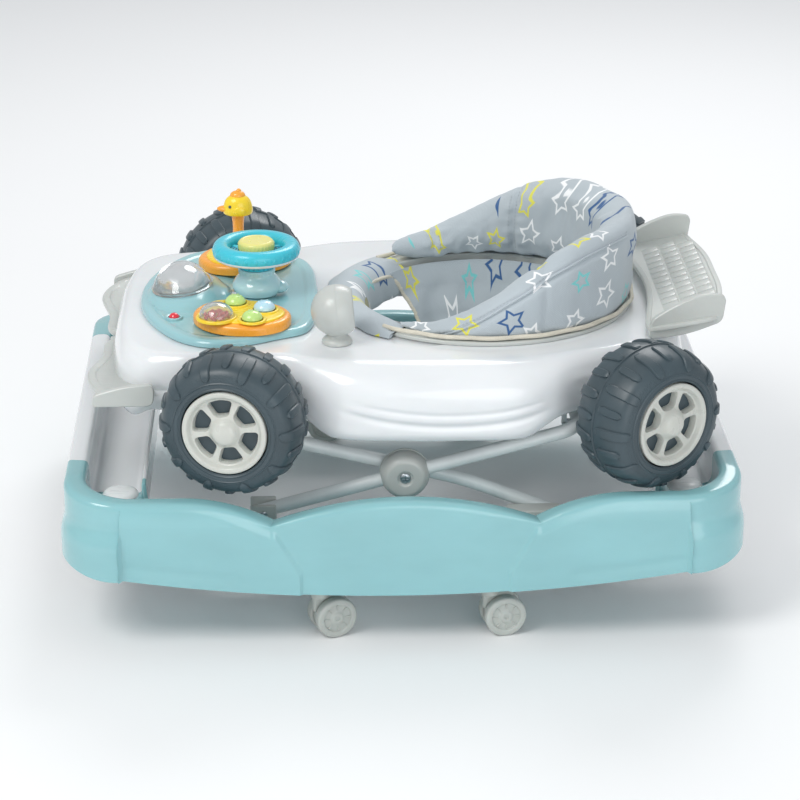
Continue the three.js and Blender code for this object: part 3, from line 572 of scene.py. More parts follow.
def finishes():
    """The walker's materials by name, made once from the panel's colours."""
    if getattr(finishes, "made", None):
        return finishes.made
    c = bpy.context.scene.walker.colours
    seat = bpy.context.scene.walker.seat
    finishes.made = SimpleNamespace(
        white=moulded_plastic("shell_white", c.shell, roughness=0.18, coat=0.5),
        bumper=moulded_plastic("bumper_white", c.shell, roughness=0.2, coat=0.45, mottle=0.03),
        stop=moulded_plastic("stop_white", c.stop, roughness=0.3),
        aqua=moulded_plastic("base_aqua", c.base, roughness=0.2, coat=0.5, mottle=0.06),
        dash=moulded_plastic("dash_aqua", c.dash, roughness=0.16, coat=0.6),
        grey=moulded_plastic("trim_grey", c.grey, roughness=0.34, coat=0.2, grain=0.25),
        rim=moulded_plastic("rim_grey", c.rim, roughness=0.32, coat=0.2, grain=0.3),
        caster=moulded_plastic("caster_grey", c.caster, roughness=0.4, coat=0.1, grain=0.4),
        dark=moulded_plastic("shadow_grey", c.dark, roughness=0.5, coat=0.0, grain=0.4),
        # dark is the own colour of the bird's eyes and the crotch snap, and painted shade in the steering
        # wheel's perforations.
        cyan=moulded_plastic("steering_cyan", c.cyan, roughness=0.3, coat=0.3),
        deep_cyan=moulded_plastic("steering_deep_cyan", c.deep_cyan, roughness=0.4, coat=0.2),
        horn=moulded_plastic("horn_yellow", c.horn, roughness=0.35, coat=0.2),
        orange=moulded_plastic("console_orange", c.orange, roughness=0.28),
        yellow=moulded_plastic("console_yellow", c.yellow, roughness=0.28),
        green=moulded_plastic("button_green", c.green, roughness=0.22, coat=0.6),
        blue=moulded_plastic("button_blue", c.blue, roughness=0.18, coat=0.7),
        red=moulded_plastic("lamp_red", c.red, roughness=0.12, coat=0.9),
        bead=moulded_plastic("rattle_beads", c.bead, roughness=0.2, coat=0.6),
        base_ball=moulded_plastic("steering_base_aqua", c.ball, roughness=0.12, coat=0.8),
        tyre=tyre_plastic("tyre_slate", c.tyre),
        tube=painted_tube("frame_tube", c.tube),
        steel=bare_steel("zinc_steel", c.steel),
        glass=bare_steel("mirror_silver", c.mirror, roughness=0.04),
        clear=clear_plastic("clear_lens", c.dash),
        stars=star_cloth("star_cloth", c, (seat.centre_x / MM, 0, 300)),
        piping=plain_cloth("cream_piping", c.piping, thread=0.0011),
        crotch=plain_cloth("olive_webbing", c.olive, thread=0.0018),
        thread=plain_cloth("seam_thread", c.thread, thread=0.0006),
    )
    return finishes.made


# --------------------------------------------------------------------------------------------
# Geometry Nodes trees
# --------------------------------------------------------------------------------------------
def new_tree(name, **inputs):
    """A geometry tree with a Geometry input and output, and named inputs of the given kinds."""
    tree = bpy.data.node_groups.new(name, "GeometryNodeTree")
    tree.interface.new_socket("Geometry", in_out="INPUT", socket_type="NodeSocketGeometry")
    for label, kind in inputs.items():
        tree.interface.new_socket(label.replace("_", " "), in_out="INPUT", socket_type="NodeSocket" + kind)
    tree.interface.new_socket("Geometry", in_out="OUTPUT", socket_type="NodeSocketGeometry")
    nodes = Nodes(tree)
    given = nodes.add("NodeGroupInput").outputs
    return tree, nodes, given


def close_tree(nodes, given, geometry):
    """Ends a tree: instances made real, and the material set."""
    real = nodes.add("GeometryNodeRealizeInstances", {0: geometry})
    painted = nodes.add("GeometryNodeSetMaterial", {"Geometry": real, "Material": given["Material"]})
    nodes.add("NodeGroupOutput", {0: painted})


def ring_tree():
    """Copies of the geometry spaced round the Z axis."""
    tree, n, given = new_tree("ring_of_copies", Count="Int", Start="Float", Material="Material")
    turn = n.math("DIVIDE", TAU, given["Count"])
    points = n.add("GeometryNodePoints", {"Count": given["Count"]})
    angle = n.math("ADD", n.math("MULTIPLY", n.add("GeometryNodeInputIndex"), turn), given["Start"])
    copies = n.add("GeometryNodeInstanceOnPoints", {"Points": points, "Instance": given["Geometry"],
                                                    "Rotation": n.combine(0.0, 0.0, angle)})
    close_tree(n, given, copies)
    return tree


def path_tree():
    """Short threads laid end to end along a curve, as a line of stitches."""
    tree, n, given = new_tree("stitches_on_path", Pitch="Float", Length="Float", Thickness="Float",
                              Material="Material")
    steps = n.add("GeometryNodeResampleCurve", {"Curve": given["Geometry"], "Length": given["Pitch"]},
                  mode="LENGTH")
    thread = n.add("GeometryNodeMeshUVSphere", {"Segments": 6, "Rings": 5, "Radius": 0.5})
    points = n.add("GeometryNodeCurveToPoints", {"Curve": steps}, mode="EVALUATED")
    copies = n.add("GeometryNodeInstanceOnPoints", {
        "Points": points.outputs["Points"], "Instance": thread, "Rotation": points.outputs["Rotation"],
        "Scale": n.combine(given["Thickness"], given["Thickness"], given["Length"])})
    close_tree(n, given, copies)
    return tree


def sweep_tree():
    """A round bar or tube swept along a curve."""
    tree, n, given = new_tree("round_sweep", Radius="Float", Sides="Int", Material="Material")
    ring = n.add("GeometryNodeCurvePrimitiveCircle",
                 {"Resolution": given["Sides"], "Radius": given["Radius"]})
    skin = n.add("GeometryNodeCurveToMesh", {"Curve": given["Geometry"], "Profile Curve": ring.outputs[0],
                                             "Fill Caps": True})
    close_tree(n, given, skin)
    return tree


def grid_tree():
    """Copies of the geometry in rows and columns, stepping down a slope along X."""
    tree, n, given = new_tree("brick_rows", Columns="Int", Rows="Int", Pitch_X="Float", Pitch_Y="Float",
                              Slope="Float", Material="Material")
    width = n.math("MULTIPLY", n.math("SUBTRACT", given["Columns"], 1.0), given["Pitch X"])
    depth = n.math("MULTIPLY", n.math("SUBTRACT", given["Rows"], 1.0), given["Pitch Y"])
    grid = n.add("GeometryNodeMeshGrid", {"Size X": width, "Size Y": depth, "Vertices X": given["Columns"],
                                          "Vertices Y": given["Rows"]})
    x = n.add("ShaderNodeSeparateXYZ", {0: n.add("GeometryNodeInputPosition")}).outputs[0]
    lift = n.combine(0.0, 0.0, n.math("MULTIPLY", x, given["Slope"]))
    sloped = n.add("GeometryNodeSetPosition", {"Geometry": grid.outputs[0], "Offset": lift})
    tilt = n.combine(0.0, n.math("MULTIPLY", n.math("ARCTANGENT", given["Slope"]), -1.0), 0.0)
    copies = n.add("GeometryNodeInstanceOnPoints", {"Points": sloped, "Instance": given["Geometry"],
                                                    "Rotation": tilt})
    close_tree(n, given, copies)
    return tree


def screw_tree():
    """A pan-head screw with a cross recess at each point, facing along +Z."""
    tree, n, given = new_tree("cross_screws", Radius="Float", Height="Float", Material="Material")
    radius, height = given["Radius"], given["Height"]
    head = n.add("GeometryNodeMeshUVSphere", {"Segments": 28, "Rings": 12, "Radius": 1.0})
    dome = n.add("GeometryNodeTransform", {"Geometry": head, "Scale": n.combine(radius, radius, height)})
    long_side, short_side = n.math("MULTIPLY", radius, 1.15), n.math("MULTIPLY", radius, 0.26)
    deep = n.math("MULTIPLY", height, 1.1)
    slots = [n.add("GeometryNodeMeshCube", {"Size": n.combine(a, b, deep)})
             for a, b in ((long_side, short_side), (short_side, long_side))]
    lifted = [n.add("GeometryNodeTransform", {"Geometry": s, "Translation": n.combine(0.0, 0.0, height)})
              for s in slots]
    recessed = n.add("GeometryNodeMeshBoolean", {"Mesh 1": dome}, operation="DIFFERENCE", solver="EXACT")
    for tool in lifted:
        n.tree.links.new(tool.outputs[0], recessed.inputs["Mesh 2"])
    copies = n.add("GeometryNodeInstanceOnPoints", {"Points": given["Geometry"], "Instance": recessed})
    close_tree(n, given, copies)
    return tree


TREES = {"ring": ring_tree, "stitches": path_tree, "sweep": sweep_tree, "bricks": grid_tree,
         "screws": screw_tree}


def grown(kind, source, finish, **values):
    """The shape that a tree makes from a shape or a curve, with its named inputs set."""
    group = bpy.data.node_groups.get("walker_" + kind)
    if group is None:
        group = TREES[kind]()
        group.name = "walker_" + kind
    data = source if isinstance(source, bpy.types.Curve) else clean_loose(source)
    obj = temporary("grow_" + kind, data)
    step = obj.modifiers.new("grow", "NODES")
    step.node_group = group
    values["Material"] = finish
    for item in group.interface.items_tree:
        if item.in_out == "INPUT" and item.name.replace(" ", "_") in values:
            step[item.identifier] = values[item.name.replace(" ", "_")]
    return evaluated_shape(obj)


def clean_loose(shape):
    """A mesh in metres from a shape, which may be only points."""
    if shape[1]:
        return clean_mesh("grow_source", shape)
    data = bpy.data.meshes.new("grow_source")
    data.from_pydata([tuple(v * MM for v in p) for p in shape[0]], [], [])
    return data


def curve_through(points, closed=False):
    """A poly curve in metres through points in millimetres."""
    curve = bpy.data.curves.new("path", "CURVE")
    curve.dimensions = "3D"
    spline = curve.splines.new("POLY")
    spline.points.add(len(points) - 1)
    for target, p in zip(spline.points, points):
        target.co = (p[0] * MM, p[1] * MM, p[2] * MM, 1)
    spline.use_cyclic_u = closed
    return curve


def swept(points, radius, finish, sides=24, closed=False):
    return grown("sweep", curve_through(points, closed), finish, Radius=radius * MM, Sides=sides)


def stitched(points, finish, pitch=4.2, length=3.0, thickness=0.9, closed=False):
    return grown("stitches", curve_through(points, closed), finish, Pitch=pitch * MM, Length=length * MM,
                 Thickness=thickness * MM)


def screws(points, radius, height, finish):
    """Screw heads that face along +Z, at points in millimetres."""
    return grown("screws", (points, []), finish, Radius=radius * MM, Height=height * MM)


# --------------------------------------------------------------------------------------------
# Ring base with its bumpers, stops and casters
# --------------------------------------------------------------------------------------------
def rim_height(base, x):
    """Height of the scalloped rim along a side."""
    far = abs(x)
    if far < base.notch_x:
        return mix(base.hump_z, base.notch_z, (far / base.notch_x) ** 2)
    if far < base.end_hump_x:
        t = (base.end_hump_x - far) / (base.end_hump_x - base.notch_x)
        return mix(base.end_hump_z, base.notch_z, t**2)
    return base.end_hump_z


def rocker_height(base, x):
    """Height of the rocking edge under a side."""
    return base.rocker_z + base.rocker_radius - math.sqrt(base.rocker_radius**2 - x * x)


def ring_section(base, outer, inner, rim, bottom, end, proud, x, seam=0.0):
    """One section across the gutter: outer and inner are its two edges in plan, end is 1 on the
    front or rear and 0 on a side, proud is how far the bumper block stands out at the bottom, and
    seam is how far the section waves along the ring where the two colours meet."""
    floor = mix(base.side_floor_z, base.end_floor_z, end)
    inside = mix(base.side_inner_z, base.end_inner_z, end)
    low = floor - 20
    wall, width, rim_in = base.wall, base.ring_width, base.rim_width
    lip = base.inner_rim_width
    step_top, step_low = base.block_top_z - 6, base.block_top_z - 22
    outside = fillet([(-proud, bottom, 0), (-proud, step_low, 10), (0, step_top, 6), (0, rim, 9),
                      (rim_in, rim, 9), (rim_in, floor + wall, 16), (width - lip, floor + wall, 9),
                      (width - lip, inside, 2.4), (width, inside, 2.4), (width, low, 0)], 6, closed=False)
    skirt_bottom, skirt_top = outside[0], outside[1]
    skirt = [(mix(skirt_bottom[0], skirt_top[0], t), mix(skirt_bottom[1], skirt_top[1], t))
             for t in spread(0, 1, 12)][1:-1]
    back = [(width - wall, low), (width - wall, floor), (rim_in - wall, floor), (rim_in - wall, rim - wall),
            (wall, rim - wall), (wall, step_top - 2), (wall - proud, step_low), (wall - proud, bottom)]
    profile = [skirt_bottom] + skirt + outside[1:] + back
    crossed = []
    for depth, z in profile:
        if depth < wall * 0.7 and end < 0.5 and abs(x) < base.block_x:
            crease = mix(base.notch_x, base.notch_x - 34, clamp((base.notch_z - z) / 60))
            panel = smooth((abs(x) - crease + 2) / 4) * smooth((rim - 4 - z) / 12)
            arch = smooth((abs(x) - 182) / 5) * bump(z - rocker_height(base, x) - 16, 5)
            depth -= 3.0 * panel - 1.2 * arch
        t = depth / width
        wave = seam * math.sin(math.pi * clamp(t)) * math.cos(math.pi * clamp(t) * 1.6)
        px, py = mix(outer[0], inner[0], t), mix(outer[1], inner[1], t)
        crossed.append((px, py - wave, z))
    return crossed


def rail_rings(base):
    """Sections of the left rail from the front seam round to the rear seam."""
    inner_x, inner_y = base.front_x - base.ring_width, base.side_y - base.ring_width
    big, small = base.corner_radius, base.inner_radius
    corner_y = base.side_y - big
    proud_end = 5
    half = []
    for t in spread(0, 1, 8)[:-1]:
        outer_y, inner_end = mix(base.seam_y + GAP, corner_y, t), mix(base.seam_y + GAP, inner_y - small, t)
        half.append(dict(outer=(-base.front_x, -outer_y), inner=(-inner_x, -inner_end), rim=base.end_rim_z,
                         bottom=base.end_bottom_z, end=1, proud=proud_end, x=-base.front_x,
                         seam=base.seam_wave * (1 - smooth(t))))
    for t in spread(0, 1, 26):
        c, s = math.cos(t * math.pi / 2), math.sin(t * math.pi / 2)
        half.append(dict(outer=(-(base.front_x - big) - big * c, -corner_y - big * s),
                         inner=(-(inner_x - small) - small * c, -(inner_y - small) - small * s),
                         rim=mix(base.end_rim_z, base.end_hump_z, t),
                         bottom=mix(base.end_bottom_z, rocker_height(base, base.block_x), smooth(t)),
                         end=1 - smooth(t), proud=mix(proud_end, base.block_proud, t), x=-base.front_x))
    side_x = [base.block_x, base.block_x - 0.8, base.block_x - 2.4, base.block_x - 3.2]
    prouds = [base.block_proud, base.block_proud - 0.6, 0.5, 0]
    side_x += spread(base.block_x - 8, base.notch_x + 3, 44) + spread(base.notch_x + 1.5, base.notch_x - 40,
                                                                      28)
    side_x += spread(base.notch_x - 45, 5, 22)
    prouds += [0] * (len(side_x) - len(prouds))
    for x, proud in zip(side_x, prouds):
        half.append(dict(outer=(-x, -base.side_y), inner=(-x * (inner_x - small) / base.block_x, -inner_y),
                         rim=rim_height(base, x), bottom=rocker_height(base, x), end=0, proud=proud, x=-x))
    middle = dict(outer=(0, -base.side_y), inner=(0, -inner_y), rim=base.hump_z, bottom=base.rocker_z,
                  end=0,
                  proud=0, x=0)
    flipped = [dict(s, outer=(-s["outer"][0], s["outer"][1]), inner=(-s["inner"][0], s["inner"][1]),
                    x=-s["x"])
               for s in reversed(half)]
    return [ring_section(base, **s) for s in half + [middle] + flipped]


def make_base(base, stop):
    """The two coloured rails, the white bumpers between them, the knobs and their posts."""
    use = finishes()
    rail = loft(rail_rings(base))
    ends = []
    for y in spread(-base.seam_y, base.seam_y, 41):
        near = 1 - clamp((base.seam_y - abs(y)) / 55)
        way = 1 if y < 0 else -1
        ends.append(ring_section(base, (-base.front_x, y), (-(base.front_x - base.ring_width), y),
                                 base.end_rim_z,
                                 base.end_bottom_z, 1, 5, -base.front_x,
                                 seam=base.seam_wave * smooth(near) * way))
    bumper = loft(ends)
    for side, sign in SIDES:
        boss = join(*[placed(lathe([(0, 56.5), (15, 56.5), (15, base.side_floor_z + 0.6),
                                    (0, base.side_floor_z + 0.6)],
                                   32), x, -base.side_y + 27) for x in (-97, 97)])
        shape = side_of(join(rail, boss), sign)
        piece(f"base_rail_{side}", shape, use.aqua, "base", [f"side_rail_{side}"])
    for end, sign in ENDS:
        boss = placed(lathe([(0, 56.5), (15, 56.5), (15, base.end_floor_z + 0.6),
                             (0, base.end_floor_z + 0.6)], 32),
                      -base.front_x + 44)
        shape = join(bumper, boss)
        if sign > 0:
            shape = [(-x, y, z) for x, y, z in shape[0]], shape[1]
        piece(f"base_bumper_{end}", shape, use.bumper, "base", [f"{end}_bumper"])
    profile = fillet([(0, stop.top_z, 0), (stop.cap_radius - 5, stop.top_z - 0.8, 9),
                      (stop.cap_radius, stop.top_z - 6, 3), (stop.cap_radius - 1.5, stop.top_z - 8.5, 1.5),
                      (stop.stem_radius + 1, stop.top_z - 8, 2), (stop.stem_radius, stop.foot_z + 12, 2),
                      (stop.foot_radius, stop.foot_z + 8, 2), (stop.foot_radius, stop.foot_z, 2),
                      (0, stop.foot_z, 0)], 6, closed=False)
    knob = lathe(profile, 64)
    for end, x_sign in ENDS:
        for side, y_sign in SIDES:
            name = f"stop_{end}_{side}"
            piece(name + "_knob", placed(knob, x_sign * stop.x, y_sign * stop.y), use.stop, name,
                  [name])


def make_casters():
    """Six twin-wheel casters, each a swivelling fork and a pair of wheels."""
    use = finishes()
    radius, width, gap, trail, hood_z, stem_z = 24, 13, 10, 15, 55, 88
    half = gap / 2
    wheel = lathe(fillet([(2.6, half + 1, 0.5), (radius - 6, half + 1, 1), (radius, half + 0.6, 3),
                          (radius, half + width, 3.5), (radius - 7, half + width, 2),
                          (radius - 8, half + width - 2.5, 1), (8, half + width - 1.5, 2),
                          (6, half + width + 0.2, 2), (2.6, half + width, 0.5)], 4), 48)
    rib = box_shape((10, -0.8, half + width - 3.5), (radius - 8, 0.8, half + width - 1), 0.4, 2)
    ribs = grown("ring", rib, use.caster, Count=8, Start=0.0)
    one = join(wheel, ribs)
    other = [(x, y, -z) for x, y, z in one[0]], [tuple(reversed(f)) for f in one[1]]
    axle = lathe([(0, -half - 12), (2.9, -half - 12), (2.9, half + 12), (0, half + 12)], 20)
    pair = placed(join(one, other, axle), trail, 0, radius, tilt=TO_LEFT)
    plate = placed(lathe(fillet([(0, -half + 0.4, 0), (radius - 3, -half + 0.4, 1.2),
                                 (radius - 3, half - 0.4, 1.2),
                                 (0, half - 0.4, 0)], 3, closed=False), 48), trail, 0, radius, tilt=TO_LEFT)
    hood = box_shape((-9, -half + 0.4, 30), (trail + 12, half - 0.4, hood_z - 4), 3)
    collar = lathe(fillet([(0, hood_z - 7, 0), (11, hood_z - 7, 2), (11, hood_z, 1.5), (5, hood_z, 1),
                           (5, stem_z, 1.5), (0, stem_z, 0)], 3, closed=False), 32)
    fork = join(plate, hood, collar)
    for name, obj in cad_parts.items():
        if not (name.startswith("caster_") and name.endswith("_fork")):
            continue
        place = name.removesuffix("_fork")
        low, high = caster_stem(obj)
        yaw = caster_yaw(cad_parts[place + "_wheels"], low, high)
        x, y = (low[0] + high[0]) / 2, (low[1] + high[1]) / 2
        piece(place + "_housing", placed(fork, x, y, 0, yaw), use.caster, place, [name])
        piece(place + "_rollers", placed(pair, x, y, 0, yaw), use.caster, place + "_roll",
              [place + "_wheels"])


def caster_stem(obj):
    """The plan box in millimetres of a caster's stem, its highest part."""
    top = max(v.co.z for v in obj.data.vertices)
    stem = [v.co / MM for v in obj.data.vertices if v.co.z > top - MM]
    return [min(p[i] for p in stem) for i in (0, 1)], [max(p[i] for p in stem) for i in (0, 1)]


def caster_yaw(wheels, low, high):
    """The angle in degrees that a caster trails at, from its stem to the middle of its wheels."""
    corners = [v.co / MM for v in wheels.data.vertices]
    centre = [(min(p[i] for p in corners) + max(p[i] for p in corners)) / 2 for i in (0, 1)]
    return math.degrees(math.atan2(centre[1] - (low[1] + high[1]) / 2, centre[0] - (low[0] + high[0]) / 2))


# --------------------------------------------------------------------------------------------
# Scissor frame
# --------------------------------------------------------------------------------------------
def rounded_route(points, radius, steps=10):
    """A path of 3-D points with its inner corners rounded."""
    points = [Vector(p) for p in points]
    route = [points[0]]
    for before, here, after in zip(points, points[1:], points[2:]):
        start = here + (before - here).normalized() * radius
        end = here + (after - here).normalized() * radius
        route += [start * (1 - t) ** 2 + here * 2 * t * (1 - t) + end * t * t for t in spread(0, 1, steps)]
    return [tuple(p) for p in route + [points[-1]]]


def frame_points(scissor):
    """The scissor's pivots in the XZ plane at rest."""
    c, s = math.cos(math.radians(scissor.angle)), math.sin(math.radians(scissor.angle))
    return SimpleNamespace(front=(scissor.hub_x - scissor.lower * c, scissor.hub_z - scissor.lower * s),
                           rear=(scissor.hub_x + scissor.lower * c, scissor.hub_z - scissor.lower * s),
                           rear_top=(scissor.hub_x + scissor.upper * c, scissor.hub_z + scissor.upper * s),
                           front_top=(scissor.hub_x - scissor.upper * c, scissor.hub_z + scissor.upper * s))


def make_scissor(scissor):
    """The two crossed U-shaped tubes, their hub covers, screws and end brackets."""
    use = finishes()
    at = frame_points(scissor)
    outer_y, inner_y, drop = scissor.outer_y, scissor.inner_y, scissor.bend_drop

    def u_frame(leg):
        route = leg + [(x, -y, z) for x, y, z in reversed(leg)]
        return swept(rounded_route(route, 26), scissor.tube, use.tube, sides=28)

    outer = u_frame([(at.front[0] - 7, -outer_y, at.front[1] - 2),
                     (at.rear_top[0], -outer_y, at.rear_top[1])])
    bend_z = scissor.hub_z - (scissor.bend_x - scissor.hub_x) * 0.22
    inner = u_frame([(at.rear[0] + 4, -inner_y, at.rear[1] - drop - 2), (scissor.bend_x, -inner_y, bend_z),
                     (at.front_top[0], -inner_y, at.front_top[1])])
    piece("outer_u_tube", outer, use.tube, "outer_frame", ["outer_frame"])
    piece("inner_u_tube", inner, use.tube, "inner_frame", ["inner_frame"])

    cover = lathe(fillet([(0, 205, 0), (28.5, 205, 1.5), (28.5, 216, 3), (25.5, 226, 5), (21, 230, 3),
                          (9, 229.6, 2), (8, 227, 1), (0, 227, 0)], 5, closed=False), 72)
    ridge = lathe(fillet([(28.2, 206, 0.4), (29.2, 206.6, 0.6), (29.2, 209, 0.6), (28.2, 209.6, 0.4)], 3),
                  72)
    hub = placed(join(cover, ridge), scissor.hub_x, 0, scissor.hub_z, tilt=TO_LEFT)
    screw = placed(screws([(0, 0, 227)], 6.6, 2.6, use.steel), scissor.hub_x, 0, scissor.hub_z,
                   tilt=TO_LEFT)
    rivet = placed(screws([(0, 0, 0)], 5.0, 2.0, use.steel), at.front[0], -226.2, at.front[1], tilt=TO_LEFT)
    for side, sign in SIDES:
        piece(f"hub_cap_{side}", side_of(hub, sign), use.grey, "outer_frame", [f"hub_cover_{side}"])
        piece(f"hub_screw_{side}", side_of(screw, sign), use.steel, "outer_frame",
              [f"cross_pin_{side}"])
        piece(f"pivot_screw_{side}", side_of(rivet, sign), use.steel, "base")
        for kind in ("pivot", "slide"):
            node = f"{kind}_bracket_{side}"
            bracket = side_of(end_bracket(kind, *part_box(f"{kind}_bracket_left")), sign)
            piece(node + "_block", bracket, use.grey, "base", [node])


def end_bracket(kind, low, high):
    """A bracket that holds a tube's lower end on the base: a fork, or a stepped shelf."""
    (x0, y0, z0), (x1, y1, z1) = low / MM, high / MM
    if kind == "pivot":
        cheek = 5
        return join(box_shape((x0, y0, z0), (x1, y0 + cheek, z1), 2.5),
                    box_shape((x0, y1 - cheek, z0), (x1, y1, z1), 2.5),
                    box_shape((x0 + 0.5, y0 + 1, z0 + 0.5), (x1 - 0.5, y1 - 1, z0 + 18), 2))
    shelf_z = z1 - 19
    return join(box_shape((x0, y0, z0), (x1, y0 + 24, z1), 3),
                box_shape((x0 + 1, y0 + 20, z0), (x1 - 1, y1, shelf_z), 3))


# --------------------------------------------------------------------------------------------
# Toy wheels
# --------------------------------------------------------------------------------------------
def tyre_profile(wheel):
    """(radius, z) round the tyre from its back bore to its front bore, z outwards along the axle."""
    big, half, rim = wheel.radius - 2.6, wheel.half_width, wheel.rim_radius
    return fillet([(wheel.bore + 1, -half + 2, 1), (42, -half + 4, 8), (56, -half, 10),
                   (big - 6, -half + 7, 16),
                   (big, -half + 28, 14), (big + 0.6, 0, 20), (big, half - 28, 14), (big - 6, half - 7, 16),
                   (58, half, 9), (rim + 1.5, half - 1, 2), (rim + 1, half - wheel.rim_depth, 2),
                   (wheel.bore + 1, half - wheel.rim_depth, 1)], 7)


def lug(profile, start, end, width):
    """One finger-shaped tread lug: a low round-ended pad that follows the tyre's profile."""
    route = [Vector(p) for p in profile[start:end]]
    lengths = [0.0]
    for a, b in zip(route, route[1:]):
        lengths.append(lengths[-1] + (b - a).length)
    total = lengths[-1]
    rings = []
    for i, here in enumerate(route):
        ahead = (route[min(i + 1, len(route) - 1)] - route[max(i - 1, 0)]).normalized()
        out = Vector((ahead.y, -ahead.x))
        if out.x < 0:
            out = -out
        u = 2 * lengths[i] / total - 1
        half = width / 2 * max(0.02, (1 - abs(u) ** 5)) ** 0.5
        high = 2.6 * max(0.03, (1 - abs(u) ** 8)) ** 0.5
        ring = []
        for across, up in ((-1, -1.6), (-1, high * 0.45), (-0.8, high), (0, high * 1.06), (0.8, high),
                           (1, high * 0.45),
                           (1, -1.6)):
            r, z = here.x + out.x * up, here.y + out.y * up
            angle = across * half / here.x
            ring.append((r * math.cos(angle), r * math.sin(angle), z))
        rings.append(ring)
    return loft(rings)


def make_wheels(wheel):
    """Four blown tyres with moulded lugs, each on a spoked rim."""
    use = finishes()
    profile = tyre_profile(wheel)
    tyre = lathe(profile, 144)
    half = wheel.half_width
    near = [i for i, (r, z) in enumerate(profile) if z > 1.5 and r > 60.5]
    parting = lathe([(wheel.radius - 2.4, -3.2), (wheel.radius - 0.7, -2.4), (wheel.radius - 0.7, -1.6),
                     (wheel.radius - 2.4, -0.8), (wheel.radius - 4, -2)], 144)
    long_lug = lug(profile, near[0], near[-1] + 1, 11.5)
    short_lug = placed(lug(profile, near[0], near[-1] - 6, 9.5), turn=360 / wheel.lugs)
    outer_set = join(long_lug, short_lug)
    inner_set = placed(([(x, y, -z) for x, y, z in outer_set[0]],
                        [tuple(reversed(f)) for f in outer_set[1]]),
                       turn=180 / wheel.lugs)
    lugs = grown("ring", join(outer_set, inner_set), use.tyre, Count=int(wheel.lugs // 2), Start=0.0)
    beads = join(*[lathe([(r - 1.2, half - 0.4 + dz), (r, half + 0.7 + dz), (r + 1.2, half - 0.4 + dz),
                          (r, half - 2 + dz)], 144) for r, dz in ((52.5, 0), (58.8, -0.6))])
    rubber = join(tyre, parting, lugs, beads)
    rim = rim_shape(wheel)
    for end, _ in ENDS:
        for side, sign in SIDES:
            low, high = box_mm(f"tyre_{end}_left")
            place = dict(x=(low.x + high.x) / 2, y=(low.y + high.y) / 2, z=(low.z + high.z) / 2,
                         turn=getattr(wheel, end + "_toe"), tilt=TO_LEFT)
            body = f"wheel_{end}_{side}"
            skin = piece(f"tyre_{end}_{side}_skin", side_of(placed(rubber, **place), sign), use.tyre, body,
                         [f"tyre_{end}_{side}"])
            paint_pebbles(skin, place, sign, wheel)
            piece(f"rim_{end}_{side}_dish", side_of(placed(rim, **place), sign), use.rim, body,
                  [f"rim_{end}_{side}"], sharp=28)


def paint_pebbles(obj, place, sign, wheel):
    """Marks the pebbled band of a tyre's outer sidewall in the mesh."""
    matrix = Matrix.Translation((place["x"], place["y"], place["z"])) \
        @ Matrix.Rotation(math.radians(place["turn"]), 4, "Z") @ TO_LEFT
    back = matrix.inverted()
    values = []
    for v in obj.data.vertices:
        p = v.co / MM
        local = back @ Vector((p.x, -sign * p.y, p.z))
        reach = math.hypot(local.x, local.y)
        band = smooth((reach - 59.5) / 1.5) * smooth((70 - reach) / 3)
        values.append(band if local.z > wheel.half_width * 0.5 else 0.0)
    attribute = obj.data.attributes.new("pebble", "FLOAT", "POINT")
    attribute.data.foreach_set("value", values)


def rim_shape(wheel):
    """The rim's dish with a rounded lip, a bevel, six windows between tapered spokes and a domed hub."""
    edge, half = wheel.rim_radius, wheel.half_width
    back = half - wheel.rim_depth + GAP
    dish = lathe(fillet([(wheel.bore + 0.5, back, 0.5), (edge, back, 1), (edge, half + 0.8, 2.6),
                         (edge - 5.5, half + 0.8, 2.2),
                         (edge - 9.5, half - 5.5, 2), (18.5, half - 5, 3), (15, half - 0.5, 3),
                         (11, half + 4, 5),
                         (0.01, half + 5.5, 1), (0.01, back + 7, 0.1), (wheel.bore + 0.5, back + 7, 0.3)],
                        6), 120)
    step = 360 / wheel.spokes
    inner, outer = 20.5, edge - 11
    cutters = []
    for i in range(wheel.spokes):
        middle = step * (i + 0.5) + wheel.spoke_start
        spoke_in, spoke_out = 3.4, 4.6
        wide = math.radians(step / 2)
        corners = [(inner, -wide + spoke_in / inner, 3.5), (outer, -wide + spoke_out / outer, 4.5),
                   (outer * 1.015, 0, 12), (outer, wide - spoke_out / outer, 4.5),
                   (inner, wide - spoke_in / inner, 3.5)]
        flat = [(r * math.cos(a), r * math.sin(a), d) for r, a, d in corners]
        window = fillet(flat, 5)
        levels = [(0.6, back - 4), (0.3, back + 2), (0, half - 8), (-1.6, half - 3.5), (-1.6, half + 9)]
        cutters.append(placed(stack(window, levels), turn=middle))
    return cut(dish, *cutters)


# --------------------------------------------------------------------------------------------
# Car body, front wing and rear spoiler
# --------------------------------------------------------------------------------------------
DECK_Z = 303
WAIST_HALF = [(-335, 0), (-333, -90), (-322, -150), (-300, -180), (-262, -191), (-200, -193), (-135, -196),
              (-100, -222), (-66, -242), (0, -250), (70, -251), (130, -248), (172, -232), (205, -208),
              (250, -188),
              (300, -160), (328, -128), (335, -60), (336, 0)]
DECK_HALF = [(-316, 0), (-314, -85), (-303, -138), (-284, -164), (-250, -176), (-200, -179), (-140, -182),
             (-108, -192), (-70, -203), (0, -209), (70, -210), (130, -206), (168, -196), (200, -184),
             (244, -170),
             (290, -146), (314, -118), (320, -56), (320, 0)]
SHELL_COUNT = 400


def skirt_height(x):
    """How low the shell's edge hangs at a place along its length."""
    pods = smooth((x + 125) / 45) * smooth((185 - x) / 50)
    nose = smooth((-285 - x) / 30)
    return mix(mix(236, 217, pods), 222, nose)


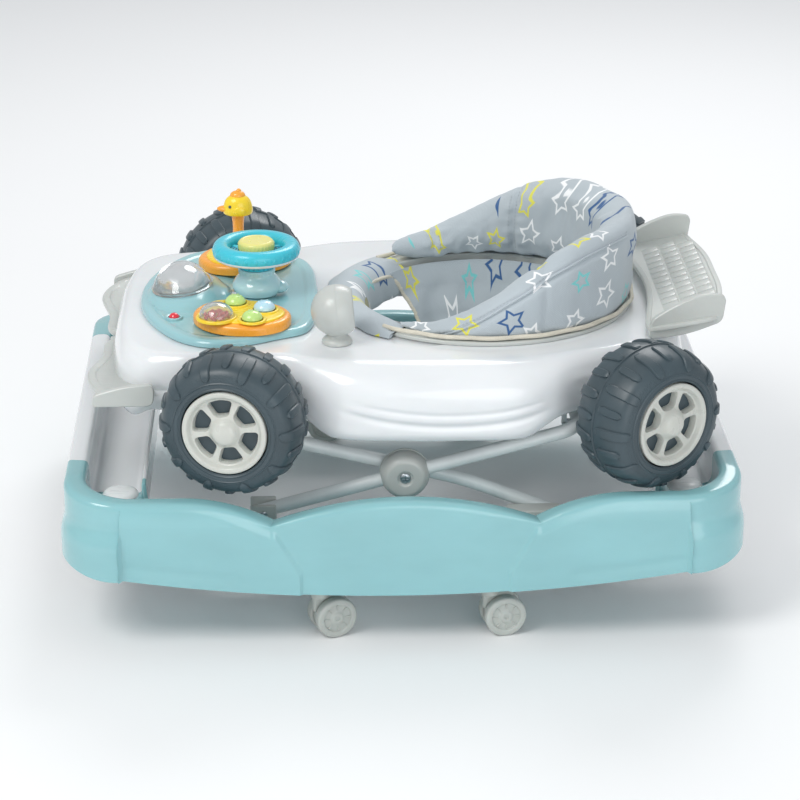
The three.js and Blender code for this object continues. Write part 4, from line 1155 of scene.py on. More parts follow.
def swoosh(x, z):
    """Depth of the moulded feature lines on the pods and of the crease over each wheel."""
    fade = smooth((x + 78) / 30) * smooth((172 - x) / 30)
    depth = 0.0
    for low, width, deep in ((236, 4.2, 2.2), (250, 3.0, 1.3)):
        line = low + 0.0011 * (x - 55) ** 2
        depth += deep * bump(z - line, width) * fade
    tail = smooth((x - 185) / 20) * smooth((300 - x) / 30)
    nose = smooth((-150 - x) / 30) * smooth((x + 318) / 24)
    depth -= 2.4 * bump(z - 276 + 0.05 * (x - 240), 5) * tail
    depth += 1.8 * bump(z - 262 - 0.03 * (x + 240), 4) * nose
    return depth


def make_shell(seat):
    """The car body: one moulding with a round shoulder, a hanging skirt and the seat opening."""
    use = finishes()
    waist = smooth_curve(mirrored(WAIST_HALF), SHELL_COUNT)
    deck = smooth_curve(mirrored(DECK_HALF), SHELL_COUNT)
    opening = [(seat.centre_x - seat.half_x * math.cos(TAU * i / SHELL_COUNT),
                -seat.half_y * math.sin(TAU * i / SHELL_COUNT)) for i in range(SHELL_COUNT)]
    wall = 4

    def level(share, height, inwards):
        ring = [(mix(a[0], b[0], share), mix(a[1], b[1], share)) for a, b in zip(deck, waist)]
        heights = [height(x) if callable(height) else height for x, _ in ring]
        return [(x, y, z) for (x, y), z in zip(inset(ring, inwards), heights)]

    def feature(ring):
        plan = [(x, y) for x, y, _ in ring]
        inner = inset(plan, 1)
        return [(x + (a - x) * swoosh(x, z), y + (b - y) * swoosh(x, z), z)
                for (x, y, z), (a, b) in zip(ring, inner)]

    rings = []
    for t in (0.0, 0.008, 0.02, 0.3, 0.6, 0.85, 0.95):
        drop = 1.2 * (1 - smooth(t / 0.02))
        rings.append([(mix(a[0], b[0], t), mix(a[1], b[1], t), DECK_Z - drop) for a,
                      b in zip(opening, deck)])
    shoulder_z = 262
    for turn in spread(0, math.pi / 2, 16):
        rings.append(level(math.sin(turn) ** 1.05,
                           shoulder_z + (DECK_Z - shoulder_z) * math.cos(turn) ** 0.9, 0))
    for t in spread(0, 1, 22)[1:]:
        rings.append(level(1, lambda x, t=t: mix(shoulder_z, skirt_height(x) + 14, t), 0))
    for turn in spread(0, math.pi / 2, 8)[1:]:
        rings.append(level(1 - 0.1 * (1 - math.cos(turn)),
                           lambda x, a=turn: skirt_height(x) + 14 - 14 * math.sin(a),
                           4 * (1 - math.cos(turn))))
    rings = [feature(r) for r in rings]
    rings.append(level(0.9, lambda x: skirt_height(x) + 0.6, 6))
    rings.append(level(0.96, lambda x: skirt_height(x) + 14, wall))
    rings.append(level(1, shoulder_z, wall))
    for turn in spread(math.pi / 2, 0, 7)[1:]:
        rings.append(level(math.sin(turn), shoulder_z + (DECK_Z - wall - shoulder_z) * math.cos(turn),
                           wall))
    rings.append([(x, y, DECK_Z - wall) for x, y in opening])
    shell = loft(rings, loop=True)
    piece("car_body", join(shell, spindles(), cheeks()), use.white, "tray", ["body_shell"],
          sharp=40)
    nose = join(*[side_of(ball((-262, -150, 283), (30, 17, 12)), sign) for _, sign in SIDES])
    piece("lamp_blisters", nose, use.white, "tray")


def spindles():
    """The stubs inside the car body that the four wheels turn on."""
    wheel = in_mm(bpy.context.scene.walker.wheel)
    stubs = []
    for end, _ in ENDS:
        low, high = box_mm(f"tyre_{end}_left")
        x, y, z = ((low[i] + high[i]) / 2 for i in range(3))
        reach = wheel.half_width - wheel.rim_depth + 6
        stub = lathe([(0, -92), (16, -92), (16, -wheel.half_width - 1), (7, -wheel.half_width - 1),
                      (6.9, reach),
                      (0, reach)], 32)
        stub = placed(stub, x, y, z, getattr(wheel, end + "_toe"), TO_LEFT)
        stubs += [stub, mirror_y(stub)]
    return join(*stubs)


def cheeks():
    """The plates under the deck that carry the scissor's upper tubes."""
    at = frame_points(in_mm(bpy.context.scene.walker.scissor))
    plates = []
    for x, z, low, high in ((*at.rear_top, -16, 16), (*at.front_top, -18, 60)):
        for y in (-168, 160):
            plates.append(box_shape((x + low, y, z + 9), (x + high, y + 8, DECK_Z - 3), 1.5))
            plates.append(box_shape((x + low, y, z - 16), (x + high, y + 8, z - 9.2), 1.5))
            plates.append(box_shape((x + low, y, z - 14), (x + low + 6, y + 8, z + 12), 1.5))
            plates.append(box_shape((x + high - 6, y, z - 14), (x + high, y + 8, z + 12), 1.5))
    return join(*plates)


WING_HALF = [(-322, 0), (-346, -20), (-349, -70), (-362, -132), (-352, -176), (-336, -200), (-300, -203),
             (-284, -196), (-292, -172), (-318, -130), (-322, -60)]


def make_wing():
    """The front wing: a thin swept blade with an end plate at each side and a keel."""
    high = box_mm("front_wing")[1]
    plan = smooth_curve(mirrored(WING_HALF), 220)
    blade_z = 252

    def lift(x, y, z):
        tip = smooth((abs(y) - 120) / 80)
        return x, y, z + 7 * tip * smooth((x + 366) / 70) + 3 * smooth((-340 - x) / 20)

    blade = change(stack(plan, [(2.2, blade_z), (0.6, blade_z + 1.6), (0, blade_z + 4),
                                (0.6, blade_z + 6.4),
                                (2.2, blade_z + 8), (9, blade_z + 8.4), (11, blade_z + 7.2)]), lift)
    plate_side = fillet([(-352, blade_z - 3, 6), (-282, blade_z - 3, 10), (-281, high.z, 10),
                         (-318, high.z - 3, 16),
                         (-352, blade_z + 11, 8)], 6)
    plates = []
    for sign in (-1, 1):
        y = sign * 203
        rows = [(1.2, y - 4), (0.2, y - 3.2), (0.2, y + 3.2), (1.2, y + 4)]
        plates.append(loft([[(x, yy, z) for x, z in inset(plate_side, d)] for d, yy in rows]))
    keel_side = fillet([(-340, 206, 5), (-318, 206, 4), (-306, 232, 8), (-304, blade_z + 4, 2),
                        (-344, blade_z + 4, 2)], 5)
    keel = loft([[(x, y, z) for x, z in inset(keel_side, d)] for d,
                 y in ((1, -6), (0, -5), (0, 5), (1, 6))])
    piece("nose_wing", join(blade, keel, *plates), finishes().grey, "tray", ["front_wing"])


SPOILER_HALF = [(300, 0), (296, -60), (287, -120), (285, -138), (288, -152), (300, -155), (358, -155),
                (368, -149),
                (375, -120), (384, -60), (385, 0)]


def spoiler_height(x):
    return mix(316, 334, clamp((x - 285) / 100, 0, 1.05))


def make_spoiler():
    """The rear spoiler: a sloping deck laid with small bricks, side fins and two pylons."""
    use = finishes()
    plan = smooth_curve(mirrored(SPOILER_HALF), 240)
    levels = [(1.6, -6), (0, -4.6), (0, -1.6), (0.5, -0.5), (1.6, 0), (5.5, 0.3), (6.6, -0.9)]
    deck = loft([[(x, y, spoiler_height(x) + dz) for x, y in inset(plan, d)] for d, dz in levels])
    slope = (spoiler_height(380) - spoiler_height(285)) / 95
    brick = box_shape((-10.3, -8.6, -1.0), (10.3, 8.6, 0.55), 0.5, 2)
    bricks = []
    for column in range(3):
        x = 319 + 22.0 * column
        shift = 9 if column % 2 else 0
        row = grown("bricks", brick, use.grey, Columns=1, Rows=13, Pitch_X=22 * MM, Pitch_Y=18 * MM,
                    Slope=slope)
        bricks.append(placed(row, x, shift - 4.5, spoiler_height(x) + 0.2,
                             tilt=Matrix.Rotation(-math.atan(slope), 4, "Y")))
    side = fillet([(286, 302, 6), (330, 306, 20), (372, 322, 8), (376, 354, 9), (350, 357, 16),
                   (316, 343, 24),
                   (289, 325, 8)], 7)
    fins, pylons = [], []
    for sign in (-1, 1):
        y = sign * 148
        rows = [(1.4, y - 4), (0.3, y - 3), (0.3, y + 3), (1.4, y + 4)]
        fins.append(loft([[(x, yy, z) for x, z in inset(side, d)] for d, yy in rows]))
        foot = fillet([(296, 272, 3), (322, 286, 12), (352, 326, 4), (292, 314, 3)], 5)
        yy = sign * 112
        pylons.append(loft([[(x, yyy, z) for x, z in inset(foot, d)] for d, yyy in
                            ((1.2, yy - 5), (0.2, yy - 4), (0.2, yy + 4), (1.2, yy + 5))]))
    piece("spoiler_deck", join(deck, *fins, *pylons), use.grey, "tray", ["rear_spoiler"])
    piece("spoiler_bricks", join(*bricks), use.grey, "tray")


# --------------------------------------------------------------------------------------------
# Seat
# --------------------------------------------------------------------------------------------
def make_seat_ring(seat):
    """The plastic ring that clamps the seat cloth in the opening."""
    def around(grow):
        return ellipse(seat.centre_x, 0, seat.half_x + grow, seat.half_y + grow, 200)

    section = fillet([(12, DECK_Z + GAP, 1), (12, DECK_Z + 5, 2.5), (-14, DECK_Z + 5, 2.5),
                      (-14, DECK_Z - 18, 1.5),
                      (-0.4, DECK_Z - 18, 1), (-0.4, DECK_Z + GAP, 0.4)], 5)
    rings = [[(x, y, z) for x, y in around(grow)] for grow, z in section]
    piece("seat_clamp_ring", loft(rings, loop=True), finishes().grey, "tray", ["seat_ring"])


def puffed(shape, voxel, cap, pressure=4.0, frames=20):
    """A stuffed form: the shape is remeshed and blown up as cloth, and no point moves past the cap."""
    body = temporary("pad", clean_mesh("pad", shape))
    remesh = body.modifiers.new("remesh", "REMESH")
    remesh.mode, remesh.voxel_size = "VOXEL", voxel * MM
    pad = evaluated_shape(body)
    body = temporary("pad", clean_mesh("pad", pad))
    before = [v.co.copy() for v in body.data.vertices]
    cloth = body.modifiers.new("cloth", "CLOTH")
    cloth.settings.use_pressure = True
    cloth.settings.uniform_pressure_force = pressure
    cloth.settings.quality = 6
    cloth.settings.mass = 0.3
    cloth.settings.tension_stiffness = cloth.settings.compression_stiffness = 12
    cloth.settings.bending_stiffness = 0.4
    cloth.settings.effector_weights.gravity = 0
    scene = bpy.context.scene
    for number in range(1, frames + 1):
        scene.frame_set(number)
    ready = body.evaluated_get(bpy.context.evaluated_depsgraph_get())
    points = []
    for start, v in zip(before, ready.data.vertices):
        step = v.co - start
        if step.length > cap * MM:
            step *= cap * MM / step.length
        points.append(tuple((start + step) / MM))
    faces = [tuple(p.vertices) for p in body.data.polygons]
    scene.frame_set(1)
    body.modifiers.clear()
    bpy.data.objects.remove(body)
    return points, faces


def subdivided(shape, levels=1):
    obj = temporary("soft", clean_mesh("soft", shape))
    step = obj.modifiers.new("soft", "SUBSURF")
    step.levels = step.render_levels = levels
    return evaluated_shape(obj)


def surface_tree(shape):
    """A search tree over a shape, for laying things on it."""
    from mathutils.bvhtree import BVHTree
    return BVHTree.FromPolygons([Vector(p) for p in shape[0]], shape[1])


CUSHION_REACH = 2.36


def crest_height(angle):
    """Height of the padded back's crest round the seat; the near arm is the lower one."""
    back = smooth((math.cos(angle) + 0.55) / 1.35)
    arm = mix(326, 348, smooth((angle + 0.25) / 0.5))
    return mix(arm, 424, back)


def cushion_point(seat, angle, depth, z, bottom, crest):
    lean = (crest - bottom) * 0.08
    grow = -depth + lean * ((z - bottom) / (crest - bottom))
    return (seat.centre_x + (seat.half_x + 6 + grow) * math.cos(angle),
            (seat.half_y + grow) * math.sin(angle), z)


def cushion_angle(seat, x, y):
    return math.atan2(y / seat.half_y, (x - seat.centre_x) / (seat.half_x + 6))


SEAM_ANGLES = (-1.22, 1.22, 1.95)


def quilted(seat, shape, bottom):
    """The stuffed back with its sewn seams drawn in and gathers along them."""
    obj = temporary("quilt", clean_mesh("quilt", shape))
    obj.data.update()
    around = seat.half_y
    points = []
    for v in obj.data.vertices:
        x, y, z = v.co / MM
        angle = cushion_angle(seat, x, y)
        crest = crest_height(angle)
        inwards = -(v.normal.x * math.cos(angle) + v.normal.y * math.sin(angle))
        face = smooth((inwards + 0.2) / 0.5)
        up = smooth((z - bottom) / 20)
        push = 0.0
        for seam in SEAM_ANGLES:
            gap = (angle - seam) * around
            push -= 4.2 * bump(gap, 4.5) * up * mix(0.35, 1, face)
            push += 1.0 * math.sin(z * 0.42 + seam) * bump(gap, 16) * (1 - bump(gap, 4)) * face
        push -= 3.4 * bump(z - (crest - 24), 4.0) * (1 - face) * smooth((abs(angle) - 0.3) / 0.3)
        crumple = noise.noise(Vector((angle * 4.2, z * 0.03, 3.1))) * 3.0
        fold = math.sin(angle * 34 + 2.2 * noise.noise(Vector((angle * 3, z * 0.02, 0.7))))
        push += crumple + 0.9 * fold * smooth((crest - 12 - z) / 40) * mix(0.25, 1, face)
        point = v.co / MM + v.normal * push
        points.append((point.x, point.y, max(point.z, bottom)))
    faces = [tuple(p.vertices) for p in obj.data.polygons]
    bpy.data.objects.remove(obj)
    return points, faces


def make_back_cushion(seat):
    """The padded back that wraps round the seat, its seams, stitches and piping."""
    use = finishes()
    bottom = DECK_Z + 6.5
    steps = 96
    rings = []
    for i in range(steps + 1):
        t = 2 * i / steps - 1
        angle = t * (CUSHION_REACH - 0.02)
        crest = crest_height(angle) - 3
        thick = 31
        squeeze = max(0.1, 1 - abs(t) ** 16)
        corners = [(1, bottom), (thick - 1, bottom), (thick + 3, mix(bottom, crest, 0.45)),
                   (thick - 2, crest - 9),
                   (thick / 2, crest), (3, crest - 9), (-2, mix(bottom, crest, 0.45))]
        section = smooth_curve(corners, 36)
        middle = mix(bottom, crest, 0.5)
        ring = [cushion_point(seat, angle, mix(thick / 2, d, squeeze), mix(middle, z, squeeze), bottom,
                              crest)
                for d, z in section]
        rings.append(ring)
    pad = quilted(seat, subdivided(puffed(loft(rings), voxel=5, cap=7)), bottom)
    cushion = piece("seat_back_pad", pad, use.stars, "tray", ["back_cushion"], sharp=75)

    tree = surface_tree(pad)
    stitch_lines = []
    for seam in SEAM_ANGLES:
        for offset in (-4.6, 4.6):
            angle = seam + offset / seat.half_y
            line = []
            for z in spread(bottom + 14, crest_height(angle) - 16, 22):
                start = Vector((seat.centre_x, 0, z))
                hit = tree.ray_cast(start, Vector((math.cos(angle), math.sin(angle), 0)))
                if hit[0]:
                    line.append(tuple(hit[0] + hit[1] * 0.25))
            if len(line) > 3:
                stitch_lines.append(line)
    for side, low, high in (("near", -2.2, -0.45), ("far", 0.45, 2.2)):
        line = []
        for angle in spread(low, high, 90):
            out = Vector((math.cos(angle), math.sin(angle), 0))
            aim = Vector(cushion_point(seat, angle, 16, crest_height(angle) - 24, bottom,
                                       crest_height(angle)))
            hit = tree.ray_cast(aim + out * 90 + Vector((0, 0, 2)), -out)
            if hit[0]:
                line.append(tuple(hit[0] + hit[1] * 0.5))
        stitch_lines.append([(x, y, z + 4.5) for x, y, z in line])
        welt = swept(smooth_curve(line, 240, closed=False), 1.5, use.stars, sides=10)
        piece(f"pad_welt_{side}", welt, use.stars, "tray", sharp=75)
    threads = join(*[stitched(line, use.thread, pitch=4.4, length=3.0,
                              thickness=0.8) for line in stitch_lines])
    piece("pad_stitches", threads, use.thread, "tray", sharp=75)

    edge = []
    for angle in spread(-CUSHION_REACH + 0.03, CUSHION_REACH - 0.03, 160):
        wave = 1.0 * math.sin(angle * 19)
        edge.append((seat.centre_x + (seat.half_x + 13 + wave) * math.cos(angle),
                     (seat.half_y + 8 + wave) * math.sin(angle), bottom + 2.4))
    piece("pad_piping", swept(edge, 2.6, use.piping, sides=14), use.piping, "tray", sharp=75)


BAG_LEVELS = [(303, 104, 148, 142), (275, 102, 138, 132), (245, 94, 112, 112), (215, 84, 90, 92),
              (185, 76, 66, 70),
              (164, 70, 36, 40)]


def bag_ring(z, grow=0.0):
    """(centre x, half length, half width) of the hanging seat at a height."""
    for upper, lower in zip(BAG_LEVELS, BAG_LEVELS[1:]):
        if z >= lower[0]:
            down = (upper[0] - z) / (upper[0] - lower[0])
            t = smooth(down) * 0.35 + 0.65 * down
            return tuple(mix(a, b, t) + (grow if i else 0) for i,
                         (a, b) in enumerate(zip(upper[1:], lower[1:])))
    return BAG_LEVELS[-1][1:]


def make_seat_bag(seat):
    """The hanging seat: a gathered cloth sling with two leg holes, piped edges and a crotch panel."""
    use = finishes()
    turns, heights = 200, spread(302, 166, 70)
    leg_axes = []
    for sign in (-1, 1):
        yaw = math.radians(-sign * 34)
        tilt = Matrix.Rotation(yaw, 3, "Z") @ Matrix.Rotation(math.radians(-68), 3, "Y")
        leg_axes.append((Vector((78, sign * 4, 214)), tilt @ Vector((0, 0, 1))))

    def off_axis(point, leg):
        origin, axis = leg
        along = (point - origin).dot(axis)
        return along, point - origin - axis * along

    points, hole = [], set()
    for row, z in enumerate(heights):
        cx, a, b = bag_ring(z)
        depth = (302 - z) / 136
        for i in range(turns):
            turn = TAU * i / turns
            fold = 2.2 * math.sin(turn * 17 + 3 * noise.noise(Vector((turn, z * 0.03,
                                                                      0)))) * smooth(depth * 3)
            sag = 3.0 * noise.noise(Vector((2.2 * math.cos(turn), 2.2 * math.sin(turn), z * 0.02)))
            p = Vector((cx + (a - 2 + fold * 0.6 + sag) * math.cos(turn),
                        (b - 2 + fold * 0.6 + sag) * math.sin(turn), z))
            for leg in leg_axes:
                along, away = off_axis(p, leg)
                if along > 0 and away.length < 43:
                    hole.add(row * turns + i)
            points.append(p)
    faces = []
    for row in range(len(heights) - 1):
        for i in range(turns):
            quad = (row * turns + i, row * turns + (i + 1) % turns, (row + 1) * turns + (i + 1) % turns,
                    (row + 1) * turns + i)
            if not any(q in hole for q in quad):
                faces.append(quad)
    bottom = len(points)
    points.append(Vector((70, 0, 163)))
    last = (len(heights) - 1) * turns
    faces += [(last + i, last + (i + 1) % turns, bottom) for i in range(turns)]
    edge_use = {}
    for face in faces:
        for a, b in zip(face, face[1:] + face[:1]):
            edge_use[tuple(sorted((a, b)))] = edge_use.get(tuple(sorted((a, b))), 0) + 1
    rims = {v for edge, times in edge_use.items() if times == 1 for v in edge if v >= turns}
    loops = [[], []]
    for v in rims:
        for k, leg in enumerate(leg_axes):
            along, away = off_axis(points[v], leg)
            if along > 0 and away.length < 56:
                points[v] = points[v] - away + away.normalized() * 44
                across = leg[1].cross(Vector((0, 0, 1))).normalized()
                up = across.cross(leg[1])
                loops[k].append((math.atan2(away.dot(up), away.dot(across)), points[v]))
    sling = solidified(([tuple(p) for p in points], faces), 2.4)
    bag = piece("seat_sling", sling, use.stars, "tray", ["seat_bag"], sharp=75)
    piping = []
    for loop in loops:
        route = [tuple(p) for _, p in sorted(loop, key=lambda item: item[0])][::3]
        piping.append(swept(smooth_curve(route, 120), 2.6, use.piping, sides=12, closed=True))
    piece("leg_piping", join(*piping), use.piping, "tray", sharp=75)

    strap = []
    for z in spread(296, 176, 30):
        cx, a, _ = bag_ring(z)
        x = cx - a + 5 + 1.2 * math.sin(z * 0.2)
        half = mix(30, 20, smooth((296 - z) / 90))
        strap.append([(x - 1.2, -half, z), (x + 1.6, -half + 1, z), (x + 2.6, 0, z), (x + 1.6, half - 1, z),
                      (x - 1.2, half, z)])
    panel = loft(strap)
    piece("crotch_panel", panel, use.crotch, "tray", sharp=60)
    snap = lathe(fillet([(0, 0, 0), (7, 0, 0.5), (7, 1.6, 1), (4.6, 2.2, 0.6), (4.2, 1.2, 0.5),
                         (0, 1.2, 0)], 3,
                        closed=False), 32)
    cx, a, _ = bag_ring(262)
    snap = placed(snap, cx - a + 8, 0, 262, tilt=Matrix.Rotation(math.radians(84), 4, "Y"))
    piece("crotch_snap", snap, use.dark, "tray")
    make_front_flap(seat)
    return bag


def solidified(shape, thickness):
    obj = temporary("cloth", clean_mesh("cloth", shape))
    step = obj.modifiers.new("thick", "SOLIDIFY")
    step.thickness, step.offset = thickness * MM, -1
    return evaluated_shape(obj)


def make_front_flap(seat):
    """The padded cloth edge that folds over the front of the seat ring."""
    use = finishes()
    rings = []
    low, high = CUSHION_REACH - 0.12, TAU - CUSHION_REACH + 0.12
    for i, angle in enumerate(spread(low, high, 90)):
        t = 2 * i / 89 - 1
        puff = max(0.15, 1 - abs(t) ** 10)
        wave = 1.6 * math.sin(angle * 23) + 1.2 * math.sin(angle * 11 + 1)
        section = smooth_curve([(25 + wave, DECK_Z + 1.2), (19, DECK_Z + 7), (6, DECK_Z + 11 * puff + 1.5),
                                (-12, DECK_Z + 9 * puff + 1), (-23, DECK_Z - 3),
                                (-25 + wave * 0.5, DECK_Z - 34),
                                (-21.5 + wave * 0.5, DECK_Z - 34), (-17, DECK_Z - 2), (-10, DECK_Z + 5.4),
                                (14, DECK_Z + 5.4), (19, DECK_Z + 1)], 44)
        rings.append([(seat.centre_x + (seat.half_x + d) * math.cos(angle),
                       (seat.half_y + d) * math.sin(angle), z)
                      for d, z in section])
    flap = piece("seat_front_flap", loft(rings), use.stars, "tray", sharp=75)


# --------------------------------------------------------------------------------------------
# Dashboard, consoles, keys, rattle and bird
# --------------------------------------------------------------------------------------------
DASH_TOP = DECK_Z + GAP + 9
DASH_HALF = [(-305, 0), (-301, -45), (-284, -98), (-254, -146), (-222, -166), (-180, -162), (-140, -142),
             (-110, -124), (-98, -90), (-94, -40), (-93, 0)]
HUMP = SimpleNamespace(x=-247, a=52, b=70, low=DASH_TOP - 6, high=24)
BEAN = [(-57, 6), (-46, -26), (-18, -47), (20, -50), (48, -34), (57, -4), (44, 24), (18, 40), (-14, 46),
        (-42, 36)]
CONSOLE_Z = DASH_TOP + GAP
CONSOLE_TOP = CONSOLE_Z + 12
BEADS = SimpleNamespace(x=-211, y=-126, radius=20, size=2.1, number=34, layers=2)
NOSE = SimpleNamespace(x=-255, a=37, b=47, high=40, wall=0.9)
CONSOLE_X, CONSOLE_Y = -182, 103
GOLDEN_ANGLE = 2.399963


def hump_height(x, y, grow=0.0):
    """Height of the dashboard's raised hump at a place, or 0 outside it."""
    reach = ((x - HUMP.x) / (HUMP.a + grow)) ** 2 + (y / (HUMP.b + grow)) ** 2
    return HUMP.low + (HUMP.high + grow) * math.sqrt(1 - reach) if reach < 1 else 0.0


def dash_height(x, y):
    """Height of the panel's top: flat, with the hump and a valley behind it."""
    low = DASH_TOP
    hump = hump_height(x, y)
    lifted = low + math.log1p(math.exp((hump - low) / 1.2)) * 1.2 - 1.2 * math.log(2) * bump(hump - low,
                                                                                             3) \
        if hump else low
    valley = -2.2 * bump(math.hypot((x + 176) / 34, y / 70) - 1, 0.22)
    return lifted + valley


def make_dashboard():
    """The glossy panel, its clear nose dome, a clear strip and the signal lamp."""
    use = finishes()
    plan = smooth_curve(mirrored(DASH_HALF), 220)
    rings = []
    for d, z in [(1.5, DECK_Z + GAP), (0, DECK_Z + 1.4)] + edge_levels(DECK_Z + 1.5, DASH_TOP, 6.5, 6)[2:]:
        rings.append([(x, y, z) for x, y in inset(plan, d)])
    rim = [(x, y) for x, y in inset(plan, 6.5)]
    centre = (-205, 0)
    for t in spread(1, 0.02, 46)[1:]:
        ring = []
        for x, y in rim:
            px, py = mix(centre[0], x, t), mix(centre[1], y, t)
            step = -1.6 * smooth((0.94 - t) / 0.02)
            ring.append((px, py, dash_height(px, py) + step))
        rings.append(ring)
    piece("dash_moulding", loft(rings), use.dash, "tray", ["dash_panel"], sharp=45)

    dome = []
    cx, a, b, high = NOSE.x, NOSE.a, NOSE.b, NOSE.high
    for reach in spread(1, 0.02, 26):
        dome.append([(cx + a * reach * math.cos(t), b * reach * math.sin(t),
                      max(DASH_TOP - 2 + high * math.sqrt(max(0, 1 - reach**2)),
                          hump_height(cx + a * reach * math.cos(t), b * reach * math.sin(t)) + 1.2))
                     for t in (TAU * i / 96 for i in range(96))])
    under = [[(x, y, max(hump_height(x, y, GAP), DASH_TOP) - NOSE.wall) for x, y,
              _ in ring] for ring in reversed(dome)]
    lens = loft(dome[:-1] + [[(cx, 0, dome[-1][0][2])] * 96] + [[(cx, 0, under[0][0][2])] * 96] + under[1:],
                loop=True)
    piece("nose_lens", lens, use.clear, "tray", ["nose_dome"], sharp=60)
    strip = box_shape((-208, -5.5, DASH_TOP - 1.5), (-190, 5.5, DASH_TOP + 1.6), 1.4)
    piece("nose_light_strip", strip, use.clear, "tray")

    low, high = box_mm("led_lens")
    place = dict(x=(low.x + high.x) / 2, y=(low.y + high.y) / 2)
    well = lathe(fillet([(6.6, DASH_TOP - 2, 0.3), (10.5, DASH_TOP - 2, 1), (10, DASH_TOP + 1.6, 1.4),
                         (6.6, DASH_TOP + 0.6, 0.8)], 4), 48)
    piece("lamp_bezel", placed(well, **place), use.dash, "tray")
    lamp = lathe(fillet([(0, low.z, 0), (6.2, low.z, 0.3), (6.1, DASH_TOP + 1.5, 2),
                         (3.4, high.z - 0.4, 2.4),
                         (0, high.z, 0)], 6, closed=False), 48)
    ribs = grown("ring", ball((4.7, 0, DASH_TOP + 2.4), (0.7, 0.7, 0.5), 8, 6), use.red, Count=12,
                 Start=0.0)
    piece("lamp_lens", placed(join(lamp, ribs), **place), use.red, "tray", ["led_lens"])


def wavy_bean(distance, swell):
    """The console's outline moved inwards, with lobes that flow round the keys."""
    outline = inset(smooth_curve(BEAN, 160), distance)
    return [(x + swell * math.cos(4 * TAU * i / 160), y + swell * math.sin(5 * TAU * i / 160))
            for i, (x, y) in enumerate(outline)]


